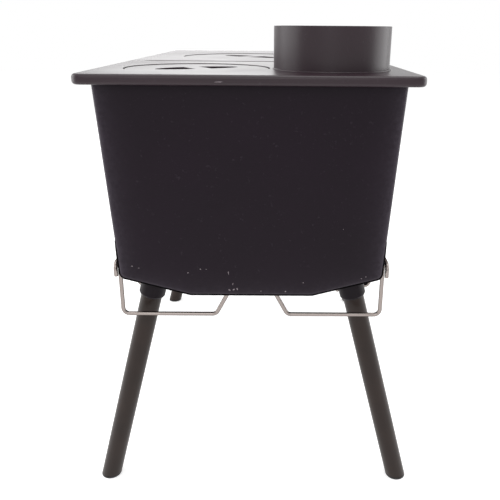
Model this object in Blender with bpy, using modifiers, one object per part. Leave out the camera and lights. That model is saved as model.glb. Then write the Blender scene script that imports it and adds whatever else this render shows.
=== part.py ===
"""Camping wood stove: a sheet steel firebox on four screw-in legs, with two lift-out lids and a flue collar on
its top plate, a hinged door with an air slider at the front, and a folding wire rack along each side.

Metres, +Z up. The ground is Z = 0, the door faces -Y, the plain rear panel faces +Y, and the origin lies on the
ground under the middle of the whole stove, its door handle included. Left and right are as seen from the front,
so left is -X.
"""

import math

import bmesh
import bpy
from mathutils import Matrix, Vector

# Top plate
TOP_HEIGHT = 0.450
PLATE_LENGTH = 0.548
PLATE_WIDTH = 0.300
PLATE_THICKNESS = 0.0025
PLATE_RIM_DEPTH = 0.009
PLATE_CORNER_RADIUS = 0.009
PLATE_EDGE_RADIUS = 0.0032
REAR_OVERHANG = 0.014
FRONT_OVERHANG = 0.024

# Stiffening groove pressed across the plate between the lids
GROOVE_FROM_REAR = 0.212
GROOVE_HALF_LENGTH = 0.132
GROOVE_WIDTH = 0.012
GROOVE_FLOOR_WIDTH = 0.007
GROOVE_DEPTH = 0.0018

# Lids, their seats and the pocket that a lifter goes into
REAR_LID_HOLE_RADIUS = 0.071
FRONT_LID_HOLE_RADIUS = 0.093
LID_SIDE_CLEARANCE = 0.0012
LID_THICKNESS = 0.0025
LID_DROP = 0.0007
LID_EDGE_ROUND = 0.0007
SEAT_THICKNESS = 0.002
SEAT_LEDGE = 0.008
SEAT_FLANGE = 0.0028
REAR_LID_FROM_REAR = 0.0937
REAR_LID_OFFSET = 0.0544
FRONT_LID_FROM_REAR = 0.344
FRONT_LID_OFFSET = 0.0106
REAR_POCKET_HALF_LENGTH = 0.0435
FRONT_POCKET_HALF_LENGTH = 0.052
POCKET_HALF_WIDTH = 0.0155
BRIDGE_WIDTH = 0.0165
REAR_LID_TURN_DEGREES = 31.0
FRONT_LID_TURN_DEGREES = -43.0
CUP_MARGIN = 0.002
CUP_WALL = 0.0015
CUP_DEPTH = 0.010

# Flue collar, for a pipe that slips into it
COLLAR_RADIUS = 0.0555
COLLAR_WALL = 0.002
COLLAR_HEIGHT = 0.0394
COLLAR_BELOW_PLATE = 0.0035
COLLAR_FROM_REAR = 0.0852
COLLAR_OFFSET = 0.0758
COLLAR_EDGE_ROUND = 0.0006

# Firebox: one folded sheet for walls and floor, a pan at each end
SHEET = 0.002
CORNER_HALF_WIDTH = 0.1247
CORNER_DEPTH = 0.1895
WALL_LEAN = 0.0621
FLOOR_HALF_WIDTH = 0.0586
FLOOR_DEPTH = 0.2070
SHELL_BEND_RADIUS = 0.006
TOP_FLANGE_WIDTH = 0.009
TOP_FLANGE_BEND = 0.002
PAN_FLANGE = 0.012
PAN_EDGE_RADIUS = 0.0045

# Clearances
GAP = 0.0003
RUNNING_GAP = 0.0005

# Legs: tubes screwed into sockets that stand square on the sloped floor
LEG_FROM_END = 0.0482
LEG_HALF_SPACING = 0.0967
LEG_RADIUS = 0.01065
LEG_WALL = 0.002
LEG_PIN_RADIUS = 0.0097
LEG_PIN_LENGTH = 0.017
SOCKET_RADIUS = 0.0132
SOCKET_LENGTH = 0.022
PLUG_FLANGE = 0.0025
PLUG_STUB = 0.012

# Side racks of round wire
WIRE_RADIUS = 0.002
RACK_HINGE_DEPTH = 0.180
RACK_HINGE_STANDOFF = 0.0066
RACK_FLOOR_DEPTH = 0.2332
RACK_BEND_RADIUS = 0.006
RACK_TAIL_LENGTH = 0.042
RACK_TIP_BEND_X = 0.0355
RACK_TIP_END_X = 0.0238
RACK_TIP_CLEARANCE = 0.0042
RACK_END_FROM_PLATE_END = 0.025
RACK_CROSS_WIRE_PITCH = 0.120
RACK_CROSS_WIRES = 4
RACK_GRID_OVERRUN = 0.005
RACK_LONG_RODS = 4
RACK_TIP_ROD_AT = 0.45
WELD_SINK = 0.0005
LUG_SPACING = 0.212
LUG_THICKNESS = 0.003
LUG_RADIUS = 0.0048
CLIP_SHEET = 0.0012
CLIP_LENGTH = 0.010
CLIP_HEIGHT = 0.0075

# Door opening and door
DOOR_CENTRE_DEPTH = 0.096
OPENING_WIDTH = 0.170
OPENING_HEIGHT = 0.110
OPENING_CORNER_RADIUS = 0.010
DOOR_OVERLAP = 0.012
DOOR_THICKNESS = 0.003
DOOR_CORNER_RADIUS = 0.014
DOOR_EDGE_ROUND = 0.0009
LIP_CLEARANCE = 0.003
LIP_WALL = 0.002
LIP_DEPTH = 0.008

# Door hinges
HINGE_AXIS_FROM_DOOR = 0.007
HINGE_AXIS_STANDOFF = 0.0065
BARREL_RADIUS = 0.005
BARREL_LENGTH = 0.014
PIN_RADIUS = 0.0025
PIN_HEAD_RADIUS = 0.004
PIN_HEAD_HEIGHT = 0.0025
LEAF_THICKNESS = 0.002
FRAME_LEAF_WIDTH = 0.013
DOOR_LEAF_WIDTH = 0.024
HINGE_SPACING = 0.082

# Air slots and slider
SLOT_OFFSETS = (-0.026, 0.0, 0.026)
SLOT_WIDTH = 0.012
SLOT_HEIGHT = 0.020
SLOT_BELOW_CENTRE = 0.032
SLIDER_HALF_LENGTH = 0.048
SLIDER_HEIGHT = 0.030
SLIDER_THICKNESS = 0.002
RAIL_SHEET = 0.0012
RAIL_LIP = 0.0035
RAIL_BASE = 0.004
RAIL_HALF_LENGTH = 0.062
KNOB_RADIUS = 0.0052
KNOB_LENGTH = 0.013
KNOB_X = 0.0405

# Door latch
NUT_TO_LIP_CLEARANCE = 0.001
LEVER_THICKNESS = 0.0025
LEVER_WIDTH = 0.012
TONGUE_LENGTH = 0.036
ARM_LENGTH = 0.050
BOLT_RADIUS = 0.003
BOLT_HEAD_RADIUS = 0.0055
BOLT_HEAD_HEIGHT = 0.0035
NUT_RADIUS = 0.006
NUT_HEIGHT = 0.005
GRIP_ROD_RADIUS = 0.004
GRIP_LENGTH = 0.066
GRIP_END_RADIUS = 0.0072
GRIP_END_LENGTH = 0.004
COIL_WIRE_RADIUS = 0.0011
COIL_TURNS = 16
COIL_POINTS_PER_TURN = 9
COIL_PITCH = 0.003
KEEPER_SHEET = 0.002
KEEPER_HEIGHT = 0.018
KEEPER_LIP = 0.011
KEEPER_BASE = 0.009
KEEPER_TONGUE_CLEARANCE = 0.001

# Grate on the sloped floor
GRATE_CROSS_BARS = 3
GRATE_CROSS_PITCH = 0.150
GRATE_CROSS_HEIGHT = 0.012
GRATE_CROSS_THICKNESS = 0.003
GRATE_END_CLEARANCE = 0.0035
GRATE_ROD_RADIUS = 0.003
GRATE_ROD_COUNT = 9
GRATE_ROD_PITCH = 0.023
GRATE_HALF_LENGTH = 0.205

# Fineness of round shapes
ROUND_STEPS = 48
TUBE_STEPS = 20
BEND_STEPS = 4

# Places worked out from the sizes above
PLATE_UNDERSIDE = TOP_HEIGHT - PLATE_THICKNESS
HANDLE_DEPTH = RUNNING_GAP + DOOR_THICKNESS + 2 * GAP + LEVER_THICKNESS + GRIP_LENGTH
HANDLE_REACH = HANDLE_DEPTH - FRONT_OVERHANG
REAR_EDGE = (PLATE_LENGTH + HANDLE_REACH) / 2
FRONT_EDGE = REAR_EDGE - PLATE_LENGTH
MIDDLE = (REAR_EDGE + FRONT_EDGE) / 2
BODY_REAR = REAR_EDGE - REAR_OVERHANG
BODY_FRONT = FRONT_EDGE + FRONT_OVERHANG
CORNER_Z = TOP_HEIGHT - CORNER_DEPTH
FLOOR_Z = TOP_HEIGHT - FLOOR_DEPTH
FLOOR_SLOPE = math.atan2(FLOOR_DEPTH - CORNER_DEPTH, CORNER_HALF_WIDTH - FLOOR_HALF_WIDTH)
DOOR_Z = TOP_HEIGHT - DOOR_CENTRE_DEPTH
DOOR_WIDTH = OPENING_WIDTH + 2 * DOOR_OVERLAP
DOOR_HEIGHT = OPENING_HEIGHT + 2 * DOOR_OVERLAP
DOOR_BACK = BODY_FRONT - RUNNING_GAP
DOOR_FACE = DOOR_BACK - DOOR_THICKNESS
RACK_HINGE_Z = TOP_HEIGHT - RACK_HINGE_DEPTH
RACK_WIRE_Z = TOP_HEIGHT - RACK_FLOOR_DEPTH
RACK_HALF_LENGTH = PLATE_LENGTH / 2 - RACK_END_FROM_PLATE_END
WIRE_PITCH = 2 * WIRE_RADIUS + GAP
WELDED_PITCH = 2 * WIRE_RADIUS - WELD_SINK
COIL_RADIUS = GRIP_ROD_RADIUS + GAP + COIL_WIRE_RADIUS
HINGE_AXIS = Vector((-DOOR_WIDTH / 2 - HINGE_AXIS_FROM_DOOR, BODY_FRONT - HINGE_AXIS_STANDOFF, DOOR_Z))
LIP_INSIDE = OPENING_WIDTH / 2 - LIP_CLEARANCE - LIP_WALL
LATCH_AXIS = Vector((LIP_INSIDE - NUT_TO_LIP_CLEARANCE - NUT_RADIUS, DOOR_FACE, DOOR_Z))
LEVER_BACK = DOOR_FACE - GAP
LEVER_FACE = LEVER_BACK - LEVER_THICKNESS
SLOT_Z = DOOR_Z - SLOT_BELOW_CENTRE
SLIDER_BACK = DOOR_FACE - GAP
SLIDER_FACE = SLIDER_BACK - SLIDER_THICKNESS


def wall_x(z):
    """Half-width of the firebox's outside at height z on the leaning side walls."""
    return CORNER_HALF_WIDTH + (z - CORNER_Z) * WALL_LEAN


RACK_HINGE_X = wall_x(RACK_HINGE_Z) + RACK_HINGE_STANDOFF


def clear_scene():
    for old in list(bpy.data.objects):
        bpy.data.objects.remove(old, do_unlink=True)


def new_collection(name):
    collection = bpy.data.collections.new(name)
    bpy.context.scene.collection.children.link(collection)
    return collection


def new_material(name, colour, roughness, metallic):
    material = bpy.data.materials.new(name)
    material.use_nodes = True
    shader = material.node_tree.nodes["Principled BSDF"]
    shader.inputs["Base Color"].default_value = (*colour, 1.0)
    shader.inputs["Roughness"].default_value = roughness
    shader.inputs["Metallic"].default_value = metallic
    return material


clear_scene()
PARTS = new_collection("camping_wood_stove")
CUTTERS = new_collection("cutters")
BLACK_PAINT = new_material("Heat resistant black paint", (0.014, 0.012, 0.014), 0.62, 0.0)
DARK_PAINT = new_material("Black paint on tube", (0.022, 0.019, 0.018), 0.5, 0.0)
STAINLESS = new_material("Polished stainless wire", (0.62, 0.60, 0.58), 0.22, 1.0)
BARE_STEEL = new_material("Bare steel", (0.32, 0.31, 0.30), 0.45, 1.0)
PLASTIC = new_material("Black plastic", (0.012, 0.012, 0.012), 0.55, 0.0)


def linked(name, mesh, material=None, location=(0, 0, 0)):
    """A new object in the parts collection, smooth where its faces meet at a small angle."""
    obj = bpy.data.objects.new(name, mesh)
    obj.location = location
    PARTS.objects.link(obj)
    if material:
        mesh.materials.append(material)
    return obj


def mesh_from(bm, name):
    mesh = bpy.data.meshes.new(name)
    bm.to_mesh(mesh)
    bm.free()
    mesh.shade_smooth()
    mesh.set_sharp_from_angle(angle=math.radians(35))
    return mesh


def as_cutter(obj):
    """Moves an object to the cutters, where it is neither rendered nor built."""
    PARTS.objects.unlink(obj)
    CUTTERS.objects.link(obj)
    obj.hide_render = True
    obj.display_type = "WIRE"
    return obj


def boolean(obj, operation, other):
    modifier = obj.modifiers.new(operation.lower(), "BOOLEAN")
    modifier.operation = operation
    modifier.solver = "EXACT"
    modifier.object = as_cutter(other) if other.name in PARTS.objects else other
    return obj


def cut(obj, *cutters):
    for cutter in cutters:
        boolean(obj, "DIFFERENCE", cutter)
    return obj


def fuse(obj, *others):
    for other in others:
        boolean(obj, "UNION", other)
    return obj


def box(name, low, high, material=None, edge=0.0, segments=2):
    """A box between two corners, its edges rounded by a Bevel where edge is given."""
    low, high = Vector(low), Vector(high)
    bm = bmesh.new()
    bmesh.ops.create_cube(bm, size=1.0)
    bmesh.ops.scale(bm, vec=high - low, verts=bm.verts)
    bmesh.ops.translate(bm, vec=(low + high) / 2, verts=bm.verts)
    obj = linked(name, mesh_from(bm, name), material)
    if edge:
        bevel(obj, edge, segments)
    return obj


def bevel(obj, width, segments, angle=30.0):
    modifier = obj.modifiers.new("rounded edges", "BEVEL")
    modifier.width = width
    modifier.segments = segments
    modifier.limit_method = "ANGLE"
    modifier.angle_limit = math.radians(angle)
    return obj


def cylinder(name, start, end, radius, material=None, steps=TUBE_STEPS):
    """A capped cylinder between two points."""
    start, end = Vector(start), Vector(end)
    along = end - start
    turn = along.to_track_quat("Z", "Y").to_matrix().to_4x4()
    bm = bmesh.new()
    bmesh.ops.create_cone(
        bm, cap_ends=True, segments=steps, radius1=radius, radius2=radius, depth=along.length,
        matrix=Matrix.Translation((start + end) / 2) @ turn,
    )
    return linked(name, mesh_from(bm, name), material)


def turned(name, profile, location, material=None, steps=ROUND_STEPS):
    """A ring turned about Z. The closed profile is (radius, height) points that run down its outer side."""
    bm = bmesh.new()
    corners = [bm.verts.new((radius, 0.0, height)) for radius, height in profile]
    for index, corner in enumerate(corners):
        bm.edges.new((corner, corners[(index + 1) % len(corners)]))
    obj = linked(name, mesh_from(bm, name), material, location)
    screw = obj.modifiers.new("turned", "SCREW")
    screw.axis = "Z"
    screw.steps = steps
    screw.render_steps = steps
    screw.use_merge_vertices = True
    screw.merge_threshold = 0.00001
    screw.use_smooth_shade = True
    return obj


def rounded_path(corners, radius, steps=BEND_STEPS, closed=False):
    """Points through the corners, with each inner corner replaced by an arc tangent to its two sides."""
    points = []
    last = len(corners) - 1
    for index, corner in enumerate(corners):
        if not closed and index in (0, last):
            points.append(corner.copy())
            continue
        before = (corners[index - 1] - corner).normalized()
        after = (corners[(index + 1) % (last + 1)] - corner).normalized()
        half_angle = before.angle(after) / 2
        centre = corner + (before + after).normalized() * radius / math.sin(half_angle)
        start = corner + before * radius / math.tan(half_angle) - centre
        end = corner + after * radius / math.tan(half_angle) - centre
        axis = start.cross(end)
        turn = math.pi - 2 * half_angle
        for step in range(steps + 1):
            points.append(centre + Matrix.Rotation(turn * step / steps, 3, axis) @ start)
    return points


def wire(name, points, radius, material=STAINLESS, sides=2):
    """A round wire or rod along the points, with filled ends."""
    curve = bpy.data.curves.new(name, "CURVE")
    curve.dimensions = "3D"
    curve.bevel_depth = radius
    curve.bevel_resolution = sides
    curve.use_fill_caps = True
    spline = curve.splines.new("POLY")
    spline.points.add(len(points) - 1)
    for target, point in zip(spline.points, points):
        target.co = (*point, 1.0)
    obj = bpy.data.objects.new(name, curve)
    PARTS.objects.link(obj)
    curve.materials.append(material)
    return obj


def flat_piece(name, outlines, thickness, matrix, material=None):
    """A flat outline with any holes in it, in the matrix's XY plane, half its thickness to each side."""
    curve = bpy.data.curves.new(name, "CURVE")
    curve.dimensions = "2D"
    curve.fill_mode = "BOTH"
    curve.extrude = thickness / 2
    for outline in outlines:
        spline = curve.splines.new("POLY")
        spline.points.add(len(outline) - 1)
        spline.use_cyclic_u = True
        for target, point in zip(spline.points, outline):
            target.co = (point[0], point[1], 0.0, 1.0)
    obj = bpy.data.objects.new(name, curve)
    PARTS.objects.link(obj)
    obj.matrix_world = matrix
    return group(name, [obj], material)


def evaluated(obj):
    """The object's mesh as its modifiers make it, in world space."""
    bpy.context.view_layer.update()
    mesh = bpy.data.meshes.new_from_object(obj.evaluated_get(bpy.context.evaluated_depsgraph_get()))
    mesh.transform(obj.matrix_world)
    return mesh


def group(name, pieces, material):
    """One object that holds each piece as a solid of its own, with the loose caps of a curve welded."""
    bm = bmesh.new()
    for piece in pieces:
        mesh = evaluated(piece)
        bm.from_mesh(mesh)
        bpy.data.meshes.remove(mesh)
        bpy.data.objects.remove(piece, do_unlink=True)
    bmesh.ops.remove_doubles(bm, verts=bm.verts, dist=0.000001)
    return linked(name, mesh_from(bm, name), material)


def sheet(name, path, along, thickness, inside, material=None):
    """A bent strip: the path is its outer face, drawn out along a vector, and its thickness is laid on inwards.

    The point given as inside lies on the inner side of the strip's face nearest to it.
    """
    bm = bmesh.new()
    points = [bm.verts.new(point) for point in path]
    edges = [bm.edges.new(pair) for pair in zip(points, points[1:])]
    made = bmesh.ops.extrude_edge_only(bm, edges=edges)["geom"]
    bmesh.ops.translate(bm, vec=along, verts=[v for v in made if isinstance(v, bmesh.types.BMVert)])
    bmesh.ops.recalc_face_normals(bm, faces=bm.faces)
    inside = Vector(inside)
    nearest = min(bm.faces, key=lambda face: (face.calc_center_median() - inside).length)
    if nearest.normal.dot(inside - nearest.calc_center_median()) > 0:
        bmesh.ops.reverse_faces(bm, faces=bm.faces)
    obj = linked(name, mesh_from(bm, name), material)
    return solidify(obj, thickness)


def solidify(obj, thickness):
    modifier = obj.modifiers.new("sheet", "SOLIDIFY")
    modifier.thickness = thickness
    modifier.offset = -1.0
    modifier.use_even_offset = True
    return obj


def pressed_pan(name, corners, depth, open_sides, edge_radius, thickness, material, round_angle=30.0):
    """A pan pressed from sheet: a flat face with its sides turned over along depth, rounded where they turn.

    The corners go round the face; the sides numbered in open_sides stay open.
    """
    bm = bmesh.new()
    points = [bm.verts.new(corner) for corner in corners]
    front = bm.faces.new(points)
    sides = [bm.edges.get((point, points[(index + 1) % len(points)])) for index, point in enumerate(points)]
    closed_sides = [edge for index, edge in enumerate(sides) if index not in open_sides]
    made = bmesh.ops.extrude_edge_only(bm, edges=closed_sides)["geom"]
    bmesh.ops.translate(bm, vec=depth, verts=[v for v in made if isinstance(v, bmesh.types.BMVert)])
    bmesh.ops.recalc_face_normals(bm, faces=bm.faces)
    if front.normal.dot(depth) > 0:
        bmesh.ops.reverse_faces(bm, faces=bm.faces)
    obj = linked(name, mesh_from(bm, name), material)
    if edge_radius:
        bevel(obj, edge_radius, 3, round_angle)
    return solidify(obj, thickness)


def row(count, pitch):
    """Places along a line, evenly spaced about the middle of the stove."""
    return [MIDDLE + (index - (count - 1) / 2) * pitch for index in range(count)]


def parent_to(empty, *children):
    for child in children:
        child.parent = empty
        child.matrix_parent_inverse = empty.matrix_basis.inverted()


def joint_empty(name, location):
    empty = bpy.data.objects.new(name, None)
    empty.location = location
    empty.empty_display_size = 0.02
    PARTS.objects.link(empty)
    return empty


def rounded_rectangle(width, height, radius, steps=BEND_STEPS):
    """Outline of a rectangle with round corners, centred on the origin, as (x, y, 0) points."""
    corners = [
        Vector((side * width / 2, top * height / 2, 0.0))
        for side, top in ((1, -1), (1, 1), (-1, 1), (-1, -1))
    ]
    return rounded_path(corners, radius, steps, closed=True)


def circle(radius, centre=(0.0, 0.0), steps=TUBE_STEPS):
    return [
        (centre[0] + radius * math.cos(2 * math.pi * step / steps),
         centre[1] + radius * math.sin(2 * math.pi * step / steps))
        for step in range(steps)
    ]


def upright(origin):
    """A frame whose XY plane stands in the world's XZ plane at the origin given."""
    return Matrix.Translation(origin) @ Matrix.Rotation(math.pi / 2, 4, "X")


# Top plate, its lids and the flue collar


def top_plate():
    """The pressed plate: rim turned down all round, two lid holes, the flue hole and the stiffening groove."""
    outline = rounded_rectangle(PLATE_WIDTH, PLATE_LENGTH, PLATE_CORNER_RADIUS)
    corners = [point + Vector((0, MIDDLE, TOP_HEIGHT)) for point in outline]
    plate = pressed_pan(
        "top_plate", corners, Vector((0, 0, -PLATE_RIM_DEPTH)), (),
        PLATE_EDGE_RADIUS, PLATE_THICKNESS, BLACK_PAINT, round_angle=60.0,
    )
    groove_y = REAR_EDGE - GROOVE_FROM_REAR
    fuse(plate, groove_bar("groove_rib", groove_y, PLATE_THICKNESS, TOP_HEIGHT - GAP))
    cut(plate, groove_bar("groove_cutter", groove_y, 0.0, TOP_HEIGHT + GROOVE_DEPTH))
    for name, (centre, hole_radius, _, _) in LIDS.items():
        cut(plate, plate_drill(name + "_hole", *centre, hole_radius))
    cut(plate, plate_drill("flue_hole", *COLLAR, COLLAR_RADIUS + GAP))
    return plate


def groove_bar(name, y, sink, high):
    """A bar across the plate with the groove's section, sunk under it, its leaning sides carried up to high."""
    low = TOP_HEIGHT - sink - GROOVE_DEPTH
    spread = (GROOVE_WIDTH - GROOVE_FLOOR_WIDTH) / 2 * (high - low) / GROOVE_DEPTH
    half_floor = GROOVE_FLOOR_WIDTH / 2
    bm = bmesh.new()
    section = [
        (y - half_floor, low), (y + half_floor, low),
        (y + half_floor + spread, high), (y - half_floor - spread, high),
    ]
    face = bm.faces.new([bm.verts.new((-GROOVE_HALF_LENGTH, *point)) for point in section])
    made = bmesh.ops.extrude_face_region(bm, geom=[face])["geom"]
    drawn = [v for v in made if isinstance(v, bmesh.types.BMVert)]
    bmesh.ops.translate(bm, vec=(2 * GROOVE_HALF_LENGTH, 0, 0), verts=drawn)
    bmesh.ops.recalc_face_normals(bm, faces=bm.faces)
    return linked(name, mesh_from(bm, name))


def plate_drill(name, x, y, radius):
    reach = 2 * PLATE_RIM_DEPTH
    return cylinder(name, (x, y, TOP_HEIGHT - reach), (x, y, TOP_HEIGHT + reach), radius, steps=ROUND_STEPS)


COLLAR = (-COLLAR_OFFSET, REAR_EDGE - COLLAR_FROM_REAR)

# Each lid's centre, hole radius, half the length of its pocket, and how far the pocket is turned
LIDS = {
    "rear_lid": (
        (REAR_LID_OFFSET, REAR_EDGE - REAR_LID_FROM_REAR),
        REAR_LID_HOLE_RADIUS, REAR_POCKET_HALF_LENGTH, math.radians(REAR_LID_TURN_DEGREES),
    ),
    "front_lid": (
        (FRONT_LID_OFFSET, REAR_EDGE - FRONT_LID_FROM_REAR),
        FRONT_LID_HOLE_RADIUS, FRONT_POCKET_HALF_LENGTH, math.radians(FRONT_LID_TURN_DEGREES),
    ),
}


def lid_seat(name, centre, hole_radius):
    """The ring under a lid hole: a narrow flange against the plate and a lower ledge that the lid lies on."""
    outer = hole_radius + SEAT_FLANGE
    inner = hole_radius - SEAT_LEDGE
    flange_top = -PLATE_THICKNESS - GAP
    ledge_top = -LID_DROP - LID_THICKNESS - GAP
    bottom = ledge_top - SEAT_THICKNESS
    profile = [
        (outer, flange_top), (outer, bottom), (inner, bottom), (inner, ledge_top),
        (hole_radius, ledge_top), (hole_radius, flange_top),
    ]
    return turned(name, profile, (*centre, TOP_HEIGHT), BLACK_PAINT)


def half_oval(side, half_length, half_width, chord):
    """The part of an oval that lies beyond the bridge on one side, as an outline that turns anticlockwise."""
    limit = math.acos(chord / half_length)
    steps = 12
    angles = [limit * (2 * step / steps - 1) for step in range(steps + 1)]
    return [(side * half_length * math.cos(a), side * half_width * math.sin(a)) for a in angles]


def lid(name, centre, hole_radius, pocket, turn):
    """A flat disc with two half-oval finger holes, which leave a bridge to lift it by."""
    radius = hole_radius - LID_SIDE_CLEARANCE
    top = TOP_HEIGHT - LID_DROP
    low, high = (*centre, top - LID_THICKNESS), (*centre, top)
    disc = cylinder(name, low, high, radius, BLACK_PAINT, steps=ROUND_STEPS)
    bevel(disc, LID_EDGE_ROUND, 1, 60.0)
    for side in (-1, 1):
        outline = half_oval(side, pocket, POCKET_HALF_WIDTH, BRIDGE_WIDTH / 2)
        place = Matrix.Translation((*centre, top)) @ Matrix.Rotation(turn, 4, "Z")
        cut(disc, flat_piece(f"{name}_hole", [outline], 4 * LID_THICKNESS, place))
    return disc


def lid_cup(name, centre, pocket, turn):
    """The oval cup welded under the bridge, which keeps the fire off the fingers."""
    top = TOP_HEIGHT - LID_DROP - LID_THICKNESS - GAP
    half_length = pocket + CUP_MARGIN
    half_width = POCKET_HALF_WIDTH + CUP_MARGIN

    def oval(label, margin, low, high):
        piece = cylinder(label, (0, 0, low), (0, 0, high), 1.0, steps=32)
        stretch = Matrix.Diagonal((half_length + margin, half_width + margin, 1.0, 1.0))
        piece.data.transform(Matrix.Translation((*centre, 0.0)) @ Matrix.Rotation(turn, 4, "Z") @ stretch)
        return piece

    cup = oval(name, CUP_WALL, top - CUP_DEPTH, top + 2 * CUP_WALL)
    cup.data.materials.append(BLACK_PAINT)
    bevel(cup, CUP_WALL, 2, 60.0)
    bottom = top - CUP_DEPTH + CUP_WALL
    return cut(cup, above("cup_trim", top), oval("cup_inside", 0.0, bottom, top + 3 * CUP_WALL))


def flue_collar():
    """A plain tube set in the plate, its top edge eased."""
    outer, inner = COLLAR_RADIUS, COLLAR_RADIUS - COLLAR_WALL
    top, ease = COLLAR_HEIGHT, COLLAR_EDGE_ROUND
    bottom = -PLATE_THICKNESS - COLLAR_BELOW_PLATE
    profile = [
        (outer - ease, top), (outer, top - ease), (outer, bottom),
        (inner, bottom), (inner, top - ease), (inner + ease, top),
    ]
    return turned("flue_collar", profile, (*COLLAR, TOP_HEIGHT), BLACK_PAINT)


# Firebox


def shell_corners():
    """The folded sheet's outer face in the XZ plane, from the right-hand top flange round to the left-hand one."""
    flange_z = PLATE_UNDERSIDE - GAP - SHEET
    half = [
        (wall_x(flange_z) + TOP_FLANGE_WIDTH, flange_z),
        (wall_x(flange_z), flange_z),
        (CORNER_HALF_WIDTH, CORNER_Z),
        (FLOOR_HALF_WIDTH, FLOOR_Z),
    ]
    return half + [(-x, z) for x, z in reversed(half)]


def body_shell():
    """Side walls, sloped floor halves and flat floor, folded from one sheet."""
    corners = [Vector((x, BODY_FRONT, z)) for x, z in shell_corners()]
    flange = rounded_path(corners[:3], TOP_FLANGE_BEND)[:-1]
    middle = rounded_path(corners[1:-1], SHELL_BEND_RADIUS)[1:-1]
    other = rounded_path(corners[-3:], TOP_FLANGE_BEND)[1:]
    depth = Vector((0, BODY_REAR - BODY_FRONT, 0))
    inside = (0, MIDDLE, (CORNER_Z + TOP_HEIGHT) / 2)
    return sheet("body_shell", flange + middle + other, depth, SHEET, inside, BLACK_PAINT)


def pan_corners(y):
    """Outline of an end pan: the firebox's inside, less the gap, with its top against the plate."""
    inset = SHEET + GAP
    slope = math.tan(FLOOR_SLOPE)
    side_inset = inset * math.hypot(1.0, WALL_LEAN)
    floor_inset = inset / math.cos(FLOOR_SLOPE)
    corner_z = CORNER_Z + (floor_inset - side_inset * slope) / (1.0 - WALL_LEAN * slope)
    floor_x = FLOOR_HALF_WIDTH - inset * math.tan(FLOOR_SLOPE / 2)
    top_z = PLATE_UNDERSIDE - GAP
    half = [
        (wall_x(top_z) - side_inset, top_z),
        (wall_x(corner_z) - side_inset, corner_z),
        (floor_x, FLOOR_Z + inset),
    ]
    return [Vector((x, y, z)) for x, z in half + [(-x, z) for x, z in reversed(half)]]


TOP_SIDE = 5


def rear_panel():
    """The plain end pan, flush with the shell's edge, turned in along its sides and floor."""
    return pressed_pan(
        "rear_panel", pan_corners(BODY_REAR), Vector((0, -PAN_FLANGE, 0)), (TOP_SIDE,),
        PAN_EDGE_RADIUS, SHEET, BLACK_PAINT,
    )


def front_panel():
    """The end pan with the door opening cut in it."""
    panel = pressed_pan(
        "front_panel", pan_corners(BODY_FRONT), Vector((0, PAN_FLANGE, 0)), (TOP_SIDE,),
        PAN_EDGE_RADIUS, SHEET, BLACK_PAINT,
    )
    outline = rounded_rectangle(OPENING_WIDTH, OPENING_HEIGHT, OPENING_CORNER_RADIUS)
    place = upright((0, BODY_FRONT, DOOR_Z))
    return cut(panel, flat_piece("door_opening", [outline], 4 * PAN_EDGE_RADIUS, place))


def fire_grate():
    """Flat cross bars whose ends lie on the sloped floor, with round bars along them."""
    lean_in = SHEET / math.cos(FLOOR_SLOPE)
    half = CORNER_HALF_WIDTH - SHEET - GRATE_END_CLEARANCE
    floor_there = CORNER_Z - (CORNER_HALF_WIDTH - half) * math.tan(FLOOR_SLOPE) + lean_in
    low = floor_there + RUNNING_GAP
    high = low + GRATE_CROSS_HEIGHT
    thick = GRATE_CROSS_THICKNESS / 2
    crosses = [
        box("cross_bar", (-half, y - thick, low), (half, y + thick, high))
        for y in row(GRATE_CROSS_BARS, GRATE_CROSS_PITCH)
    ]
    rod_z = high + GRATE_ROD_RADIUS - WELD_SINK
    first = -GRATE_ROD_PITCH * (GRATE_ROD_COUNT - 1) / 2
    rods = []
    for index in range(GRATE_ROD_COUNT):
        x = first + index * GRATE_ROD_PITCH
        start, end = (x, MIDDLE - GRATE_HALF_LENGTH, rod_z), (x, MIDDLE + GRATE_HALF_LENGTH, rod_z)
        rods.append(cylinder("rod", start, end, GRATE_ROD_RADIUS, steps=10))
    return fuse(group("fire_grate", crosses, BLACK_PAINT), group("grate_rods", rods, BLACK_PAINT))


# Legs


def leg_frame(side, y):
    """A frame on the sloped floor's underside whose Z axis runs up the leg, square to the sheet."""
    drop = (CORNER_HALF_WIDTH - LEG_HALF_SPACING) * math.tan(FLOOR_SLOPE)
    origin = Vector((side * LEG_HALF_SPACING, y, CORNER_Z - drop))
    return Matrix.Translation(origin) @ Matrix.Rotation(-side * FLOOR_SLOPE, 4, "Y")


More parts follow.
